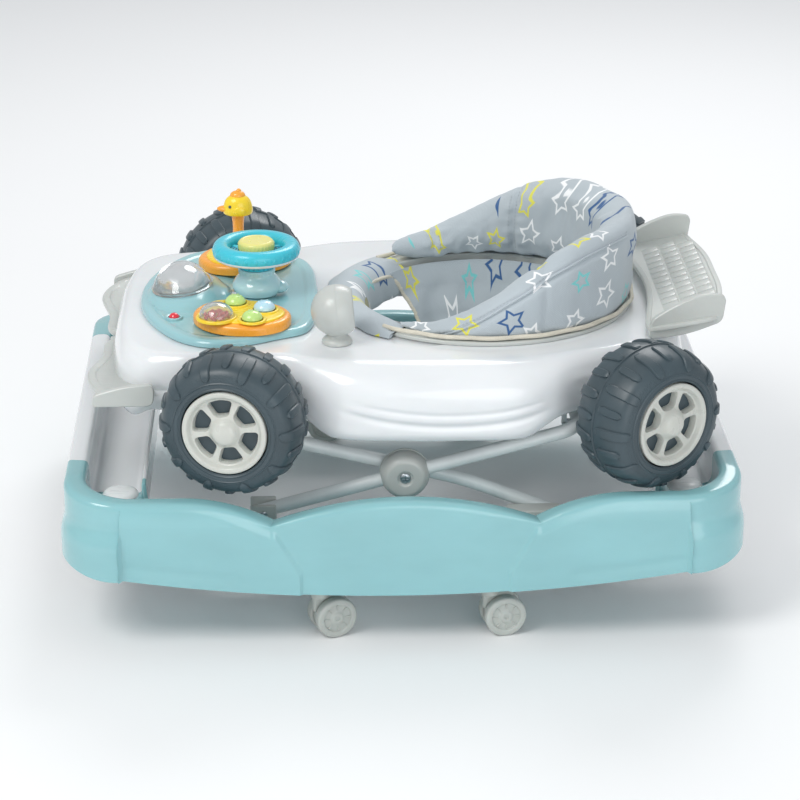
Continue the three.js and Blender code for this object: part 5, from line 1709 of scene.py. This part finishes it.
def make_consoles():
    """The two bean-shaped consoles with their keys, and the rattle dome full of beads."""
    use = finishes()
    keys = {}
    for key in ("button_front", "button_middle", "button_rear"):
        low, high = box_mm(key)
        keys[key] = ((low.x + high.x) / 2, (low.y + high.y) / 2, (high.x - low.x) / 2, high.z)
    outline = smooth_curve(BEAN, 160)
    base = stack(outline, edge_levels(CONSOLE_Z, CONSOLE_TOP, 5.5, 6))
    deck = stack(wavy_bean(8.5, 1.3), edge_levels(CONSOLE_TOP - 1, CONSOLE_TOP + 2.4, 2.2, 4))
    left_base, left_deck = placed(base, CONSOLE_X, -CONSOLE_Y), placed(deck, CONSOLE_X, -CONSOLE_Y)
    wells = [placed(lathe([(0, CONSOLE_Z + 1), (r + 0.5, CONSOLE_Z + 1), (r + 0.5, CONSOLE_TOP + 20),
                           (0, CONSOLE_TOP + 20)], 48), x, y) for x, y, r, _ in keys.values()]
    left_base, left_deck = cut(left_base, *wells), cut(left_deck, *wells)
    collar = [lathe(fillet([(r + 0.7, CONSOLE_TOP + 1, 0.3), (r + 5.0, CONSOLE_TOP + 1.6, 0.6),
                            (r + 3.8, CONSOLE_TOP + 4.6, 1.6), (r + 0.7, CONSOLE_TOP + 4.0, 0.8)], 4), 64)
              for _, _, r, _ in keys.values()]
    collars = [placed(c, x, y) for c, (x, y, _, _) in zip(collar, keys.values())]
    bead_collar = placed(lathe(fillet([(BEADS.radius - 0.6, CONSOLE_TOP + 0.4, 0.3),
                                       (BEADS.radius + 4.4, CONSOLE_TOP + 1, 1),
                                       (BEADS.radius + 3, CONSOLE_TOP + 5.2, 1.8),
                                       (BEADS.radius - 0.4, CONSOLE_TOP + 4, 1)], 4),
                               72), BEADS.x, BEADS.y)
    piece("console_base_left", left_base, use.orange, "tray", ["console_left"], sharp=40)
    piece("console_deck_left", join(left_deck, *collars, bead_collar), use.yellow, "tray",
          sharp=40)
    right_base, right_deck = (placed(mirror_y(s), CONSOLE_X, CONSOLE_Y) for s in (base, deck))
    piece("console_base_right", right_base, use.orange, "tray", ["console_right"], sharp=40)
    piece("console_deck_right", right_deck, use.yellow, "tray", sharp=40)

    for key, (x, y, r, top) in keys.items():
        finish, slot = (use.blue, "blue") if key == "button_middle" else (use.green, "green")
        cap = lathe(fillet([(0, CONSOLE_Z + 5, 0), (r - 2.2, CONSOLE_Z + 5, 1),
                            (r - 2.2, CONSOLE_TOP + 3.8, 0.5),
                            (r, CONSOLE_TOP + 4.4, 0.8), (r - 0.6, CONSOLE_TOP + 8, 4),
                            (r * 0.62, top - 1.6, 5),
                            (0, top, 0)], 7, closed=False), 64)
        dots = grown("ring", ball((r * 0.5, 0, top - 1.9), (1.5, 1.5, 0.9), 14, 8), finish, Count=6,
                     Start=0.0)
        piece(key + "_cap", placed(join(cap, dots), x, y), finish, key, [key])

    low, high = box_mm("bead_dome")
    radius, z = BEADS.radius, low.z
    outer = [(radius, z), (radius, z + 4)] + [(radius * math.cos(a), z + 4 + (high.z - z - 4) * math.sin(a))
                                             for a in spread(0, math.pi / 2, 14)[1:]]
    inner = [(max(0, r - 1.4) if r > 1.4 else 0, zz - (1.4 if r < radius * 0.9 else 0.6)) for r,
             zz in reversed(outer)]
    dome = lathe(outer[:-1] + [(0, outer[-1][1])] + [(0, outer[-1][1] - 1.4)] + inner[1:], 72)
    piece("bead_lens", placed(dome, BEADS.x, BEADS.y), use.clear, "tray", ["bead_dome"], sharp=60)
    floor = lathe([(0, z + 0.4), (radius - 2, z + 0.4), (radius - 2, z + 1.6), (0, z + 1.6)], 48)
    piece("bead_floor", placed(floor, BEADS.x, BEADS.y), use.yellow, "tray")
    beads = []
    per_layer = BEADS.number // BEADS.layers
    for i in range(BEADS.number):
        turn = i * GOLDEN_ANGLE
        reach = (radius - 4.6) * math.sqrt((i % per_layer + 0.5) / per_layer)
        level = z + 3.6 + 3.4 * (i // per_layer) * (1 - (reach / radius) ** 2)
        beads.append(ball((BEADS.x + reach * math.cos(turn), BEADS.y + reach * math.sin(turn), level),
                          (BEADS.size,) * 3, 14, 9))
    piece("rattle_bead_fill", join(*beads), use.bead, "tray")


def make_bird():
    """The spinning bird: a round head on a neck, a flared skirt, wings, beak and a crest."""
    use = finishes()
    low, high = box_mm("bird_figure")
    x, y, foot = high.x - 20, (low.y + high.y) / 2, low.z
    head_z = foot + 61
    skirt = lathe(fillet([(0, foot, 0), (20, foot, 1.5), (19.5, foot + 4, 2), (12, foot + 9, 6),
                          (8.5, foot + 18, 8),
                          (8, foot + 26, 4), (0, foot + 26, 0)], 7, closed=False), 64)
    flutes = grown("ring", ball((18.2, 0, foot + 3.2), (1.9, 1.2, 2.4), 12, 8), use.yellow, Count=14,
                   Start=0.0)
    neck = lathe(fillet([(0, foot + 24, 0), (7.2, foot + 24, 1), (6.4, foot + 34, 8), (8.2, head_z - 9, 5),
                         (0, head_z - 9, 0)], 6, closed=False), 48)
    head = lathe(fillet([(0, head_z - 11, 0), (17.6, head_z - 11, 4), (18.6, head_z - 4, 8),
                         (15.5, head_z + 8, 10),
                         (7, head_z + 14.5, 7), (0, head_z + 15.5, 0)], 8, closed=False), 64)
    head = change(head, lambda px, py, pz: (px, py * 0.76, pz))
    wings = [ball((2, s * 13.2, head_z - 4), (7.5, 2.2, 5.5), 24, 14) for s in (-1, 1)]
    piece("bird_body", placed(join(skirt, flutes, head, *wings), x, y), use.yellow, "bird",
          ["bird_figure"])
    beak = change(ball((-17.5, 0, head_z - 4), (8.2, 7.0, 3.6), 32, 18),
                  lambda px, py, pz: (px, py * (1 - 0.35 * smooth((-14 - px) / 12)), pz))
    cap = change(ball((0, 0, head_z + 12.5), (9.5, 7.6, 6.5), 36, 20), lambda px, py,
                 pz: (px, py, max(pz, head_z + 9)))
    tuft = ball((1.5, 0, head_z + 18), (3.2, 3.0, 3.6), 20, 12)
    piece("bird_beak_and_cap", placed(join(neck, beak, cap, tuft), x, y), use.orange, "bird")
    eyes = join(*[ball((-9.5, s * 11.4, head_z + 1.5), (1.9, 1.2, 1.9), 16, 10) for s in (-1, 1)])
    piece("bird_eyes", placed(eyes, x, y), use.dark, "bird")


# --------------------------------------------------------------------------------------------
# Steering wheel and side mirror
# --------------------------------------------------------------------------------------------
# holes gives each ring of perforations as (radius, number); they are drawn as dark discs of painted hole
# shade.
STEERING = SimpleNamespace(ring=42, tube=10, ball=30, holes=((24.6, 40), (28.2, 46), (31.8, 52)))


def make_steering():
    """The steering ring with its perforated well, horn disc, slotted collar and ball base."""
    use = finishes()
    low, high = box_mm("steering_wheel")
    x, y = (low.x + high.x) / 2, (low.y + high.y) / 2
    top, foot = high.z, low.z
    ring_radius, tube = STEERING.ring, STEERING.tube
    middle = top - tube
    section = [(ring_radius + tube * math.copysign(abs(math.cos(a)) ** 0.86, math.cos(a)),
                middle + tube * math.copysign(abs(math.sin(a)) ** 0.86, math.sin(a)))
               for a in (TAU * i / 40 for i in range(40))]
    grip = lathe(section, 120)
    nubs = grown("ring", ball((ring_radius + tube - 0.8, 0, middle), (1.5, 2.6, 3.4), 14, 10), use.cyan,
                 Count=28,
                 Start=0.0)
    collar = lathe(fillet([(8.5, foot, 0.5), (21, foot, 1.5), (21, foot + 8, 2), (27, middle - 9, 4),
                           (ring_radius - 3, middle - 7, 3), (ring_radius - 3, middle - 4, 1),
                           (24, middle - 3, 2),
                           (22.5, middle - 3.5, 1), (8.5, middle - 3.5, 0.5)], 5), 96)
    # The collar's slots are raised bars of the deeper cyan: painted shade stands in for the hollows of the
    # slots.
    slots = grown("ring", box_shape((20.2, -1.1, foot + 1.4), (21.9, 1.1, foot + 6.6), 0.5, 2),
                  use.deep_cyan,
                  Count=22, Start=0.0)
    spokes = grown("ring", box_shape((23, -3.4, middle - 3.2), (ring_radius - 6, 3.4, middle + 0.4), 1.4,
                                     3), use.cyan,
                   Count=3, Start=math.radians(30))
    piece("steering_ring", placed(join(grip, nubs, collar, spokes), x, y), use.cyan, "steering",
          ["steering_wheel"])
    well = lathe(fillet([(22.4, middle - 2.6, 0.3), (ring_radius - 6, middle - 2.6, 1),
                         (ring_radius - 6, middle - 0.6, 1),
                         (22.4, middle - 1.2, 0.3)], 3), 96)
    piece("steering_well", placed(join(well, slots), x, y), use.deep_cyan, "steering")
    # The perforations are dark discs set flush in the well: painted shade stands in for the holes.
    dot = lathe([(0, -0.5), (0.95, -0.5), (0.95, 0.35), (0, 0.35)], 10)
    holes = [grown("ring", placed(dot, reach, 0, middle - 1.0), use.dark, Count=number, Start=0.06 * number)
             for reach, number in STEERING.holes]
    piece("steering_perforations", placed(join(*holes), x, y), use.dark, "steering")
    band = lathe(fillet([(ring_radius + 2, middle - 9.9, 0.5), (ring_radius + 8.6, middle - 7.4, 1.2),
                         (ring_radius + 9.9, middle - 4.2, 1), (ring_radius + 6, middle - 6.6, 1)], 4), 96)
    piece("steering_band", placed(band, x, y), use.white, "steering")

    low, high = box_mm("horn_button")
    radius = (high.x - low.x) / 2
    disc = lathe(fillet([(0, low.z, 0), (radius, low.z, 0.8), (radius, high.z - 3.4, 3),
                         (radius - 3.2, high.z - 0.6, 2),
                         (radius - 5.5, high.z - 1.4, 1.2), (0, high.z - 0.8, 0)], 6, closed=False), 96)
    grips = grown("ring", box_shape((radius - 0.8, -0.9, low.z + 1.2), (radius + 0.3, 0.9, high.z - 4), 0.4,
                                    2),
                  use.horn, Count=30, Start=0.0)
    notes = grown("ring", ball((9.5, 0, high.z - 1.2), (2.4, 1.2, 0.7), 14, 8), use.horn, Count=5,
                  Start=0.0)
    piece("horn_disc", placed(join(disc, grips, notes), x, y), use.horn, "horn", ["horn_button"])

    low, high = box_mm("steering_post")
    base = low.z
    ball_radius = STEERING.ball
    collar_low = foot - 9
    profile = fillet([(0, base, 0), (ball_radius - 4, base, 1), (ball_radius, base + 8, 6),
                      (ball_radius - 1.5, base + 14, 6),
                      (ball_radius - 8, collar_low, 6), (21.5, collar_low + 2.6, 1.2),
                      (21.5, foot - GAP, 1.2),
                      (8, foot - GAP, 0.4), (8, foot + 7.5, 1.5), (0, foot + 7.5, 0)], 6, closed=False)
    post = lathe(profile, 96)
    ridges = grown("ring", box_shape((21.0, -1.2, collar_low + 3.2), (22.1, 1.2, foot - 1.2), 0.4, 2),
                   use.base_ball,
                   Count=26, Start=0.0)
    pod = ball((27, 0, base + 6.5), (11, 12, 7.5), 32, 18)
    pod = change(pod, lambda px, py, pz: (px, py, max(pz, base)))
    piece("steering_base", placed(join(post, ridges, pod), x, y), use.base_ball, "tray",
          ["steering_post"])


def make_mirror():
    """The side mirror: a ball cut flat, its silvered face with a rim, and the foot it turns on."""
    use = finishes()
    low, high = box_mm("mirror_housing")
    radius = 30
    x, y, z, foot = (low.x + high.x) / 2, (low.y + high.y) / 2, high.z - radius, low.z
    glass_low, glass_high = box_mm("mirror_glass")
    facing = ((glass_low + glass_high) / 2 - Vector((x, y, z))).normalized()
    tilt = facing.to_track_quat("Z", "Y").to_matrix().to_4x4()
    depth = radius * 0.62
    lip = math.sqrt(radius**2 - depth**2)
    back = [(radius * math.cos(a), radius * math.sin(a)) for a in spread(-math.pi / 2,
                                                                         math.asin(depth / radius), 34)]
    face = fillet([(lip, depth, 1), (lip - 1.0, depth + 0.6, 0.6), (lip - 2.4, depth - 0.2, 0.5),
                   (lip - 3, depth - 2, 0.4),
                   (0, depth - 2, 0)], 3, closed=False)[1:]
    body = placed(lathe([(0, -radius)] + back[1:] + face, 96), x, y, z, tilt=tilt)
    stalk = lathe(fillet([(0, foot, 0), (18, foot, 1.2), (17, foot + 4.5, 3), (11.5, foot + 8.5, 5),
                          (11, z - 25, 3),
                          (12.5, z - 22, 2), (0, z - 20, 0)], 6, closed=False), 64)
    seam = placed(lathe([(radius - 0.4, -0.5), (radius + 0.25, -0.25), (radius + 0.25, 0.25),
                         (radius - 0.4, 0.5)], 96),
                  x, y, z, tilt=tilt)
    piece("mirror_ball", join(body, placed(stalk, x, y), seam), use.grey, "mirror",
          ["mirror_housing"])
    glass = lathe(fillet([(0, depth - 1.8, 0), (lip - 3.2, depth - 1.8, 0.2), (lip - 3.2, depth - 0.9, 0.4),
                          (0, depth - 0.5, 0)], 4, closed=False), 96)
    piece("mirror_face", placed(glass, x, y, z, tilt=tilt), use.glass, "mirror", ["mirror_glass"])


# --------------------------------------------------------------------------------------------
# Stage
# --------------------------------------------------------------------------------------------
FLOOR_REACH = 8  # metres from the middle to an edge of the floor
WORLD_STRENGTH = 0.6
LIGHTS = (  # name, place, width in metres, watts, colour
    ("key", (-1.6, -1.5, 2.6), 1.5, 42, (1, 0.99, 0.97)),
    ("fill", (0.7, -2.6, 0.8), 1.8, 15, (0.96, 0.98, 1)),
    ("back", (0.6, 2.0, 2.2), 1.4, 24, (1, 1, 1)),
)
LIGHT_TARGET = (0, 0, 0.2)
CAMERA_PLACE = (-0.1098, -3.001, 1.3828)
CAMERA_AIM = (0.0055, 0, 0.1695)
FOCAL_LENGTH, SENSOR_WIDTH = 119.25, 36


def aimed(obj, place, target):
    """Puts a light or a camera at a place, looking at a target, in the scene."""
    obj.location = place
    obj.rotation_euler = (Vector(target) - obj.location).to_track_quat("-Z", "Y").to_euler()
    bpy.context.scene.collection.objects.link(obj)
    return obj


def make_floor():
    """The plain pale floor that the walker stands on."""
    mesh = bpy.data.meshes.new("floor")
    corners = [(x * FLOOR_REACH, y * FLOOR_REACH, 0) for x, y in ((-1, -1), (1, -1), (1, 1), (-1, 1))]
    mesh.from_pydata(corners, [], [(0, 1, 2, 3)])
    material, n = new_material("floor_paper")
    place = n.add("ShaderNodeTexCoord").outputs["Object"]
    cloud = n.noise(place, 1.5, 3)
    close_material(n, base=n.blend(cloud, (0.93, 0.935, 0.94, 1), (0.95, 0.955, 0.96, 1)), roughness=0.7)
    mesh.materials.append(material)
    floor = bpy.data.objects.new("floor", mesh)
    bpy.context.scene.collection.objects.link(floor)


def make_stage():
    """A plain pale floor, soft studio light, and the camera."""
    scene = bpy.context.scene
    make_floor()
    scene.world = bpy.data.worlds.new("studio")
    scene.world.use_nodes = True
    sky = Nodes(scene.world.node_tree)
    light = sky.add("ShaderNodeBackground", {"Color": (0.95, 0.975, 1.0, 1), "Strength": WORLD_STRENGTH})
    sky.add("ShaderNodeOutputWorld", {"Surface": light})
    for name, place, width, power, colour in LIGHTS:
        data = bpy.data.lights.new(name, "AREA")
        data.shape, data.size, data.energy, data.color = "DISK", width, power, colour
        aimed(bpy.data.objects.new(name, data), place, LIGHT_TARGET)
    lens = bpy.data.cameras.new("camera")
    lens.lens, lens.sensor_width = FOCAL_LENGTH, SENSOR_WIDTH
    lens.clip_start, lens.clip_end = 0.1, 30
    scene.camera = aimed(bpy.data.objects.new("camera", lens), CAMERA_PLACE, CAMERA_AIM)
    scene.view_settings.view_transform = "Standard"


# --------------------------------------------------------------------------------------------
# Settings, operators and panel
# --------------------------------------------------------------------------------------------
def size(name, description, value):
    """A length setting, given in millimetres and kept in metres."""
    return bpy.props.FloatProperty(name=name, description=description, default=value * MM, unit="LENGTH",
                                   precision=4)


def angle(name, description, value):
    return bpy.props.FloatProperty(name=name, description=description, default=math.radians(value),
                                   subtype="ANGLE")


def count(name, description, value):
    return bpy.props.IntProperty(name=name, description=description, default=value, min=1)


def paint(name, description, hexa):
    return bpy.props.FloatVectorProperty(name=name, description=description, default=colour_of(hexa),
                                         subtype="COLOR", size=3, min=0, max=1)


def in_mm(group):
    """A settings group with its lengths in millimetres and its angles in degrees."""
    values = SimpleNamespace()
    for key, prop in group.bl_rna.properties.items():
        if key in ("rna_type", "name"):
            continue
        value = getattr(group, key)
        if prop.unit == "LENGTH":
            value /= MM
        elif prop.subtype == "ANGLE":
            value = math.degrees(value)
        setattr(values, key, value)
    return values


class WALKER_PG_base(bpy.types.PropertyGroup):
    front_x: size("Half length", "Outer face of the ring at the front", 384)
    side_y: size("Half width", "Outer face of the ring at the side", 317)
    corner_radius: size("Corner radius", "Outer corner of the ring in plan", 64)
    inner_radius: size("Inner corner radius", "Inner corner of the ring in plan", 14)
    ring_width: size("Ring width", "Rim to rim across the gutter", 90)
    rim_width: size("Rim width", "Rounded lip round the outside", 25)
    inner_rim_width: size("Inner rim width", "Lip on the inside of the gutter", 5)
    wall: size("Wall", "Thickness of the moulding", 3.5)
    end_rim_z: size("End rim height", "Rim of the bumpers", 184)
    end_floor_z: size("End gutter height", "Underside of the gutter in the bumpers", 135)
    end_inner_z: size("End inner rim height", "Inner lip of the bumpers", 158)
    end_bottom_z: size("End bottom height", "Lower edge of the bumpers", 100)
    side_floor_z: size("Side gutter height", "Underside of the gutter in the rails", 100)
    side_inner_z: size("Side inner rim height", "Inner lip of the rails", 112)
    hump_z: size("Middle scallop height", "Top of the middle scallop", 174)
    end_hump_z: size("End scallop height", "Top of the end scallops", 176)
    notch_z: size("Notch height", "Bottom of the notches between scallops", 148)
    notch_x: size("Notch place", "Distance of the notches from the middle", 151)
    end_hump_x: size("End scallop place", "Where the end scallops level out", 258)
    rocker_z: size("Rocker height", "Lowest point of the rocking edge", 60)
    rocker_radius: size("Rocker radius", "Radius of the rocking edge", 2000)
    block_x: size("Block place", "Where the corner blocks begin", 318)
    block_proud: size("Block depth", "How far the corner blocks stand out", 8)
    block_top_z: size("Block top", "Where the corner blocks fade out", 150)
    seam_y: size("Seam place", "Where rails and bumpers meet", 200)
    seam_wave: size("Seam wave", "How far the seam waves along the ring", 15)


class WALKER_PG_stop(bpy.types.PropertyGroup):
    x: size("Place along", "Distance of the knobs from the middle, along the walker", 320.5)
    y: size("Place across", "Distance of the knobs from the middle, across the walker", 250)
    cap_radius: size("Cap radius", "Radius of the domed cap", 21)
    top_z: size("Top", "Height of the cap's crown", 167)
    stem_radius: size("Stem radius", "Radius of the post", 10)
    foot_z: size("Foot", "Height of the foot's underside", 86)
    foot_radius: size("Foot radius", "Radius of the foot", 13)


class WALKER_PG_scissor(bpy.types.PropertyGroup):
    hub_x: size("Hub place", "Crossing point along the walker", 3)
    hub_z: size("Hub height", "Crossing point above the floor", 164.5)
    lower: size("Lower leg", "From the hub to a lower end", 169)
    upper: size("Upper leg", "From the hub to an upper end", 207)
    angle: angle("Lean", "Angle of the legs above the horizon", 15)
    tube: size("Tube radius", "Radius of the tubes", 8)
    outer_y: size("Outer legs", "Distance of the outer legs from the middle", 212)
    inner_y: size("Inner legs", "Distance of the inner legs from the middle", 195)
    bend_x: size("Bend place", "Where the inner leg bends down", 72)
    bend_drop: size("Bend drop", "How far the bent end hangs below", 9)


class WALKER_PG_wheel(bpy.types.PropertyGroup):
    radius: size("Radius", "Over the lugs", 82.5)
    half_width: size("Half width", "Half of the tyre's width", 44)
    rim_radius: size("Rim radius", "Outside of the rim's lip", 48.5)
    rim_depth: size("Rim depth", "Depth of the rim in the tyre", 14)
    bore: size("Bore", "Radius of the spindle", 7)
    front_toe: angle("Front toe", "Turn of the front wheels about the vertical", -14)
    rear_toe: angle("Rear toe", "Turn of the rear wheels about the vertical", 34)
    lugs: count("Lugs", "Tread lugs round each shoulder, long and short", 20)
    spokes: count("Spokes", "Spokes of the rim", 6)
    spoke_start: angle("Spoke turn", "Turn of the first spoke", 10)


class WALKER_PG_seat(bpy.types.PropertyGroup):
    centre_x: size("Centre", "Middle of the seat along the walker", 105)
    half_x: size("Half length", "Half length of the opening", 166)
    half_y: size("Half width", "Half width of the opening", 160)


class WALKER_PG_colours(bpy.types.PropertyGroup):
    shell: paint("Shell", "Car body and bumpers", "#e9ecee")
    stop: paint("Knobs", "Rocker knobs", "#e8ecec")
    base: paint("Base", "Side rails of the base", "#8cc0c5")
    dash: paint("Dashboard", "Dashboard panel", "#9ccbd1")
    grey: paint("Trim", "Wing, spoiler, hubs and brackets", "#c4c8c4")
    rim: paint("Rims", "Wheel rims", "#c8cac3")
    caster: paint("Casters", "Casters", "#b4b9b4")
    # dark is the own colour of the bird's eyes and the crotch snap, and painted shade in the steering
    # wheel's perforations.
    dark: paint("Shadow parts", "Wells and holes", "#55626a")
    cyan: paint("Steering wheel", "Steering wheel", "#3fc6da")
    deep_cyan: paint("Steering well", "Perforated well of the steering wheel", "#2fa9c4")
    horn: paint("Horn", "Horn button", "#ede58a")
    orange: paint("Console", "Console bases", "#ffab3a")
    yellow: paint("Console deck", "Console decks and bird", "#ffd92e")
    green: paint("Green keys", "Front and rear keys", "#c5e88a")
    blue: paint("Blue key", "Middle key", "#bfe3f3")
    red: paint("Lamp", "Signal lamp", "#e8283a")
    bead: paint("Beads", "Rattle beads", "#e8563a")
    ball: paint("Steering base", "Ball under the steering wheel", "#c3e6ea")
    tyre: paint("Tyres", "Tyres", "#3b4a51")
    tube: paint("Tubes", "Scissor frame", "#eaf0f0")
    steel: paint("Steel", "Screws and rivets", "#b9c0c4")
    mirror: paint("Mirror", "Mirror face", "#e4eaec")
    fabric: paint("Cloth", "Seat cloth", "#bac4ca")
    piping: paint("Piping", "Piping round the seat", "#e2dccb")
    olive: paint("Webbing", "Crotch panel", "#8f8f6b")
    thread: paint("Thread", "Seam stitches", "#aeb7bd")
    star_blue: paint("Star blue", "First printed colour", "#3a6294")
    star_yellow: paint("Star yellow", "Second printed colour", "#e3df5c")
    star_aqua: paint("Star aqua", "Third printed colour", "#7fd0d0")
    star_white: paint("Star white", "Fourth printed colour", "#f6f8f9")


class WALKER_PG_settings(bpy.types.PropertyGroup):
    base: bpy.props.PointerProperty(name="Base", description="Ring base", type=WALKER_PG_base)
    stop: bpy.props.PointerProperty(name="Knobs", description="Rocker knobs", type=WALKER_PG_stop)
    scissor: bpy.props.PointerProperty(name="Scissor", description="Scissor frame", type=WALKER_PG_scissor)
    wheel: bpy.props.PointerProperty(name="Wheels", description="Toy wheels", type=WALKER_PG_wheel)
    seat: bpy.props.PointerProperty(name="Seat", description="Seat opening", type=WALKER_PG_seat)
    colours: bpy.props.PointerProperty(name="Colours", description="Colours", type=WALKER_PG_colours)


class WALKER_OT_stage(bpy.types.Operator):
    """Make the floor, the lights and the camera"""
    bl_idname = "walker.stage"
    bl_label = "Stage"

    def execute(self, context):
        make_stage()
        return {"FINISHED"}


class WALKER_OT_base(bpy.types.Operator):
    """Make the ring base with its bumpers and rocker knobs"""
    bl_idname = "walker.base"
    bl_label = "Ring base"

    def execute(self, context):
        walker = context.scene.walker
        make_base(in_mm(walker.base), in_mm(walker.stop))
        return {"FINISHED"}


class WALKER_OT_casters(bpy.types.Operator):
    """Make the six twin-wheel casters"""
    bl_idname = "walker.casters"
    bl_label = "Casters"

    def execute(self, context):
        make_casters()
        return {"FINISHED"}


class WALKER_OT_scissor(bpy.types.Operator):
    """Make the scissor tubes, hub covers, screws and brackets"""
    bl_idname = "walker.scissor"
    bl_label = "Scissor frame"

    def execute(self, context):
        make_scissor(in_mm(context.scene.walker.scissor))
        return {"FINISHED"}


class WALKER_OT_wheels(bpy.types.Operator):
    """Make the four lugged tyres and their spoked rims"""
    bl_idname = "walker.wheels"
    bl_label = "Toy wheels"

    def execute(self, context):
        make_wheels(in_mm(context.scene.walker.wheel))
        return {"FINISHED"}


class WALKER_OT_shell(bpy.types.Operator):
    """Make the car body, its front wing and its rear spoiler"""
    bl_idname = "walker.shell"
    bl_label = "Car body"

    def execute(self, context):
        make_shell(in_mm(context.scene.walker.seat))
        make_wing()
        make_spoiler()
        return {"FINISHED"}


class WALKER_OT_seat(bpy.types.Operator):
    """Make the seat ring, the hanging seat and the padded back"""
    bl_idname = "walker.seat"
    bl_label = "Seat"

    def execute(self, context):
        seat = in_mm(context.scene.walker.seat)
        make_seat_ring(seat)
        make_seat_bag(seat)
        make_back_cushion(seat)
        return {"FINISHED"}


class WALKER_OT_dashboard(bpy.types.Operator):
    """Make the dashboard panel, its dome, lamp, consoles, keys, rattle and bird"""
    bl_idname = "walker.dashboard"
    bl_label = "Dashboard"

    def execute(self, context):
        make_dashboard()
        make_consoles()
        make_bird()
        return {"FINISHED"}


class WALKER_OT_steering(bpy.types.Operator):
    """Make the steering wheel, its horn and its post"""
    bl_idname = "walker.steering"
    bl_label = "Steering wheel"

    def execute(self, context):
        make_steering()
        return {"FINISHED"}


class WALKER_OT_mirror(bpy.types.Operator):
    """Make the side mirror"""
    bl_idname = "walker.mirror"
    bl_label = "Side mirror"

    def execute(self, context):
        make_mirror()
        return {"FINISHED"}


OPERATORS = (WALKER_OT_stage, WALKER_OT_base, WALKER_OT_casters, WALKER_OT_scissor, WALKER_OT_wheels,
             WALKER_OT_shell, WALKER_OT_seat, WALKER_OT_dashboard, WALKER_OT_steering, WALKER_OT_mirror)


class WALKER_PT_panel(bpy.types.Panel):
    bl_idname = "WALKER_PT_panel"
    bl_label = "Baby Walker"
    bl_space_type = "VIEW_3D"
    bl_region_type = "UI"
    bl_category = "Walker"

    def draw(self, context):
        walker = context.scene.walker
        for operator in OPERATORS:
            self.layout.operator(operator.bl_idname)
        for part in ("base", "stop", "scissor", "wheel", "seat", "colours"):
            column = self.layout.box().column()
            column.label(text=part.capitalize())
            group = getattr(walker, part)
            for key in group.bl_rna.properties.keys():
                if key not in ("rna_type", "name"):
                    column.prop(group, key)


CLASSES = (WALKER_PG_base, WALKER_PG_stop, WALKER_PG_scissor, WALKER_PG_wheel, WALKER_PG_seat,
           WALKER_PG_colours,
           WALKER_PG_settings, *OPERATORS, WALKER_PT_panel)


def register():
    for cls in CLASSES:
        bpy.utils.register_class(cls)
    bpy.types.Scene.walker = bpy.props.PointerProperty(type=WALKER_PG_settings)


def unregister():
    del bpy.types.Scene.walker
    for cls in reversed(CLASSES):
        bpy.utils.unregister_class(cls)


def main():
    register()
    bpy.ops.walker.stage()
    bpy.ops.walker.base()
    bpy.ops.walker.casters()
    bpy.ops.walker.scissor()
    bpy.ops.walker.wheels()
    bpy.ops.walker.shell()
    bpy.ops.walker.seat()
    bpy.ops.walker.dashboard()
    bpy.ops.walker.steering()
    bpy.ops.walker.mirror()


if __name__ == "__main__":
    main()
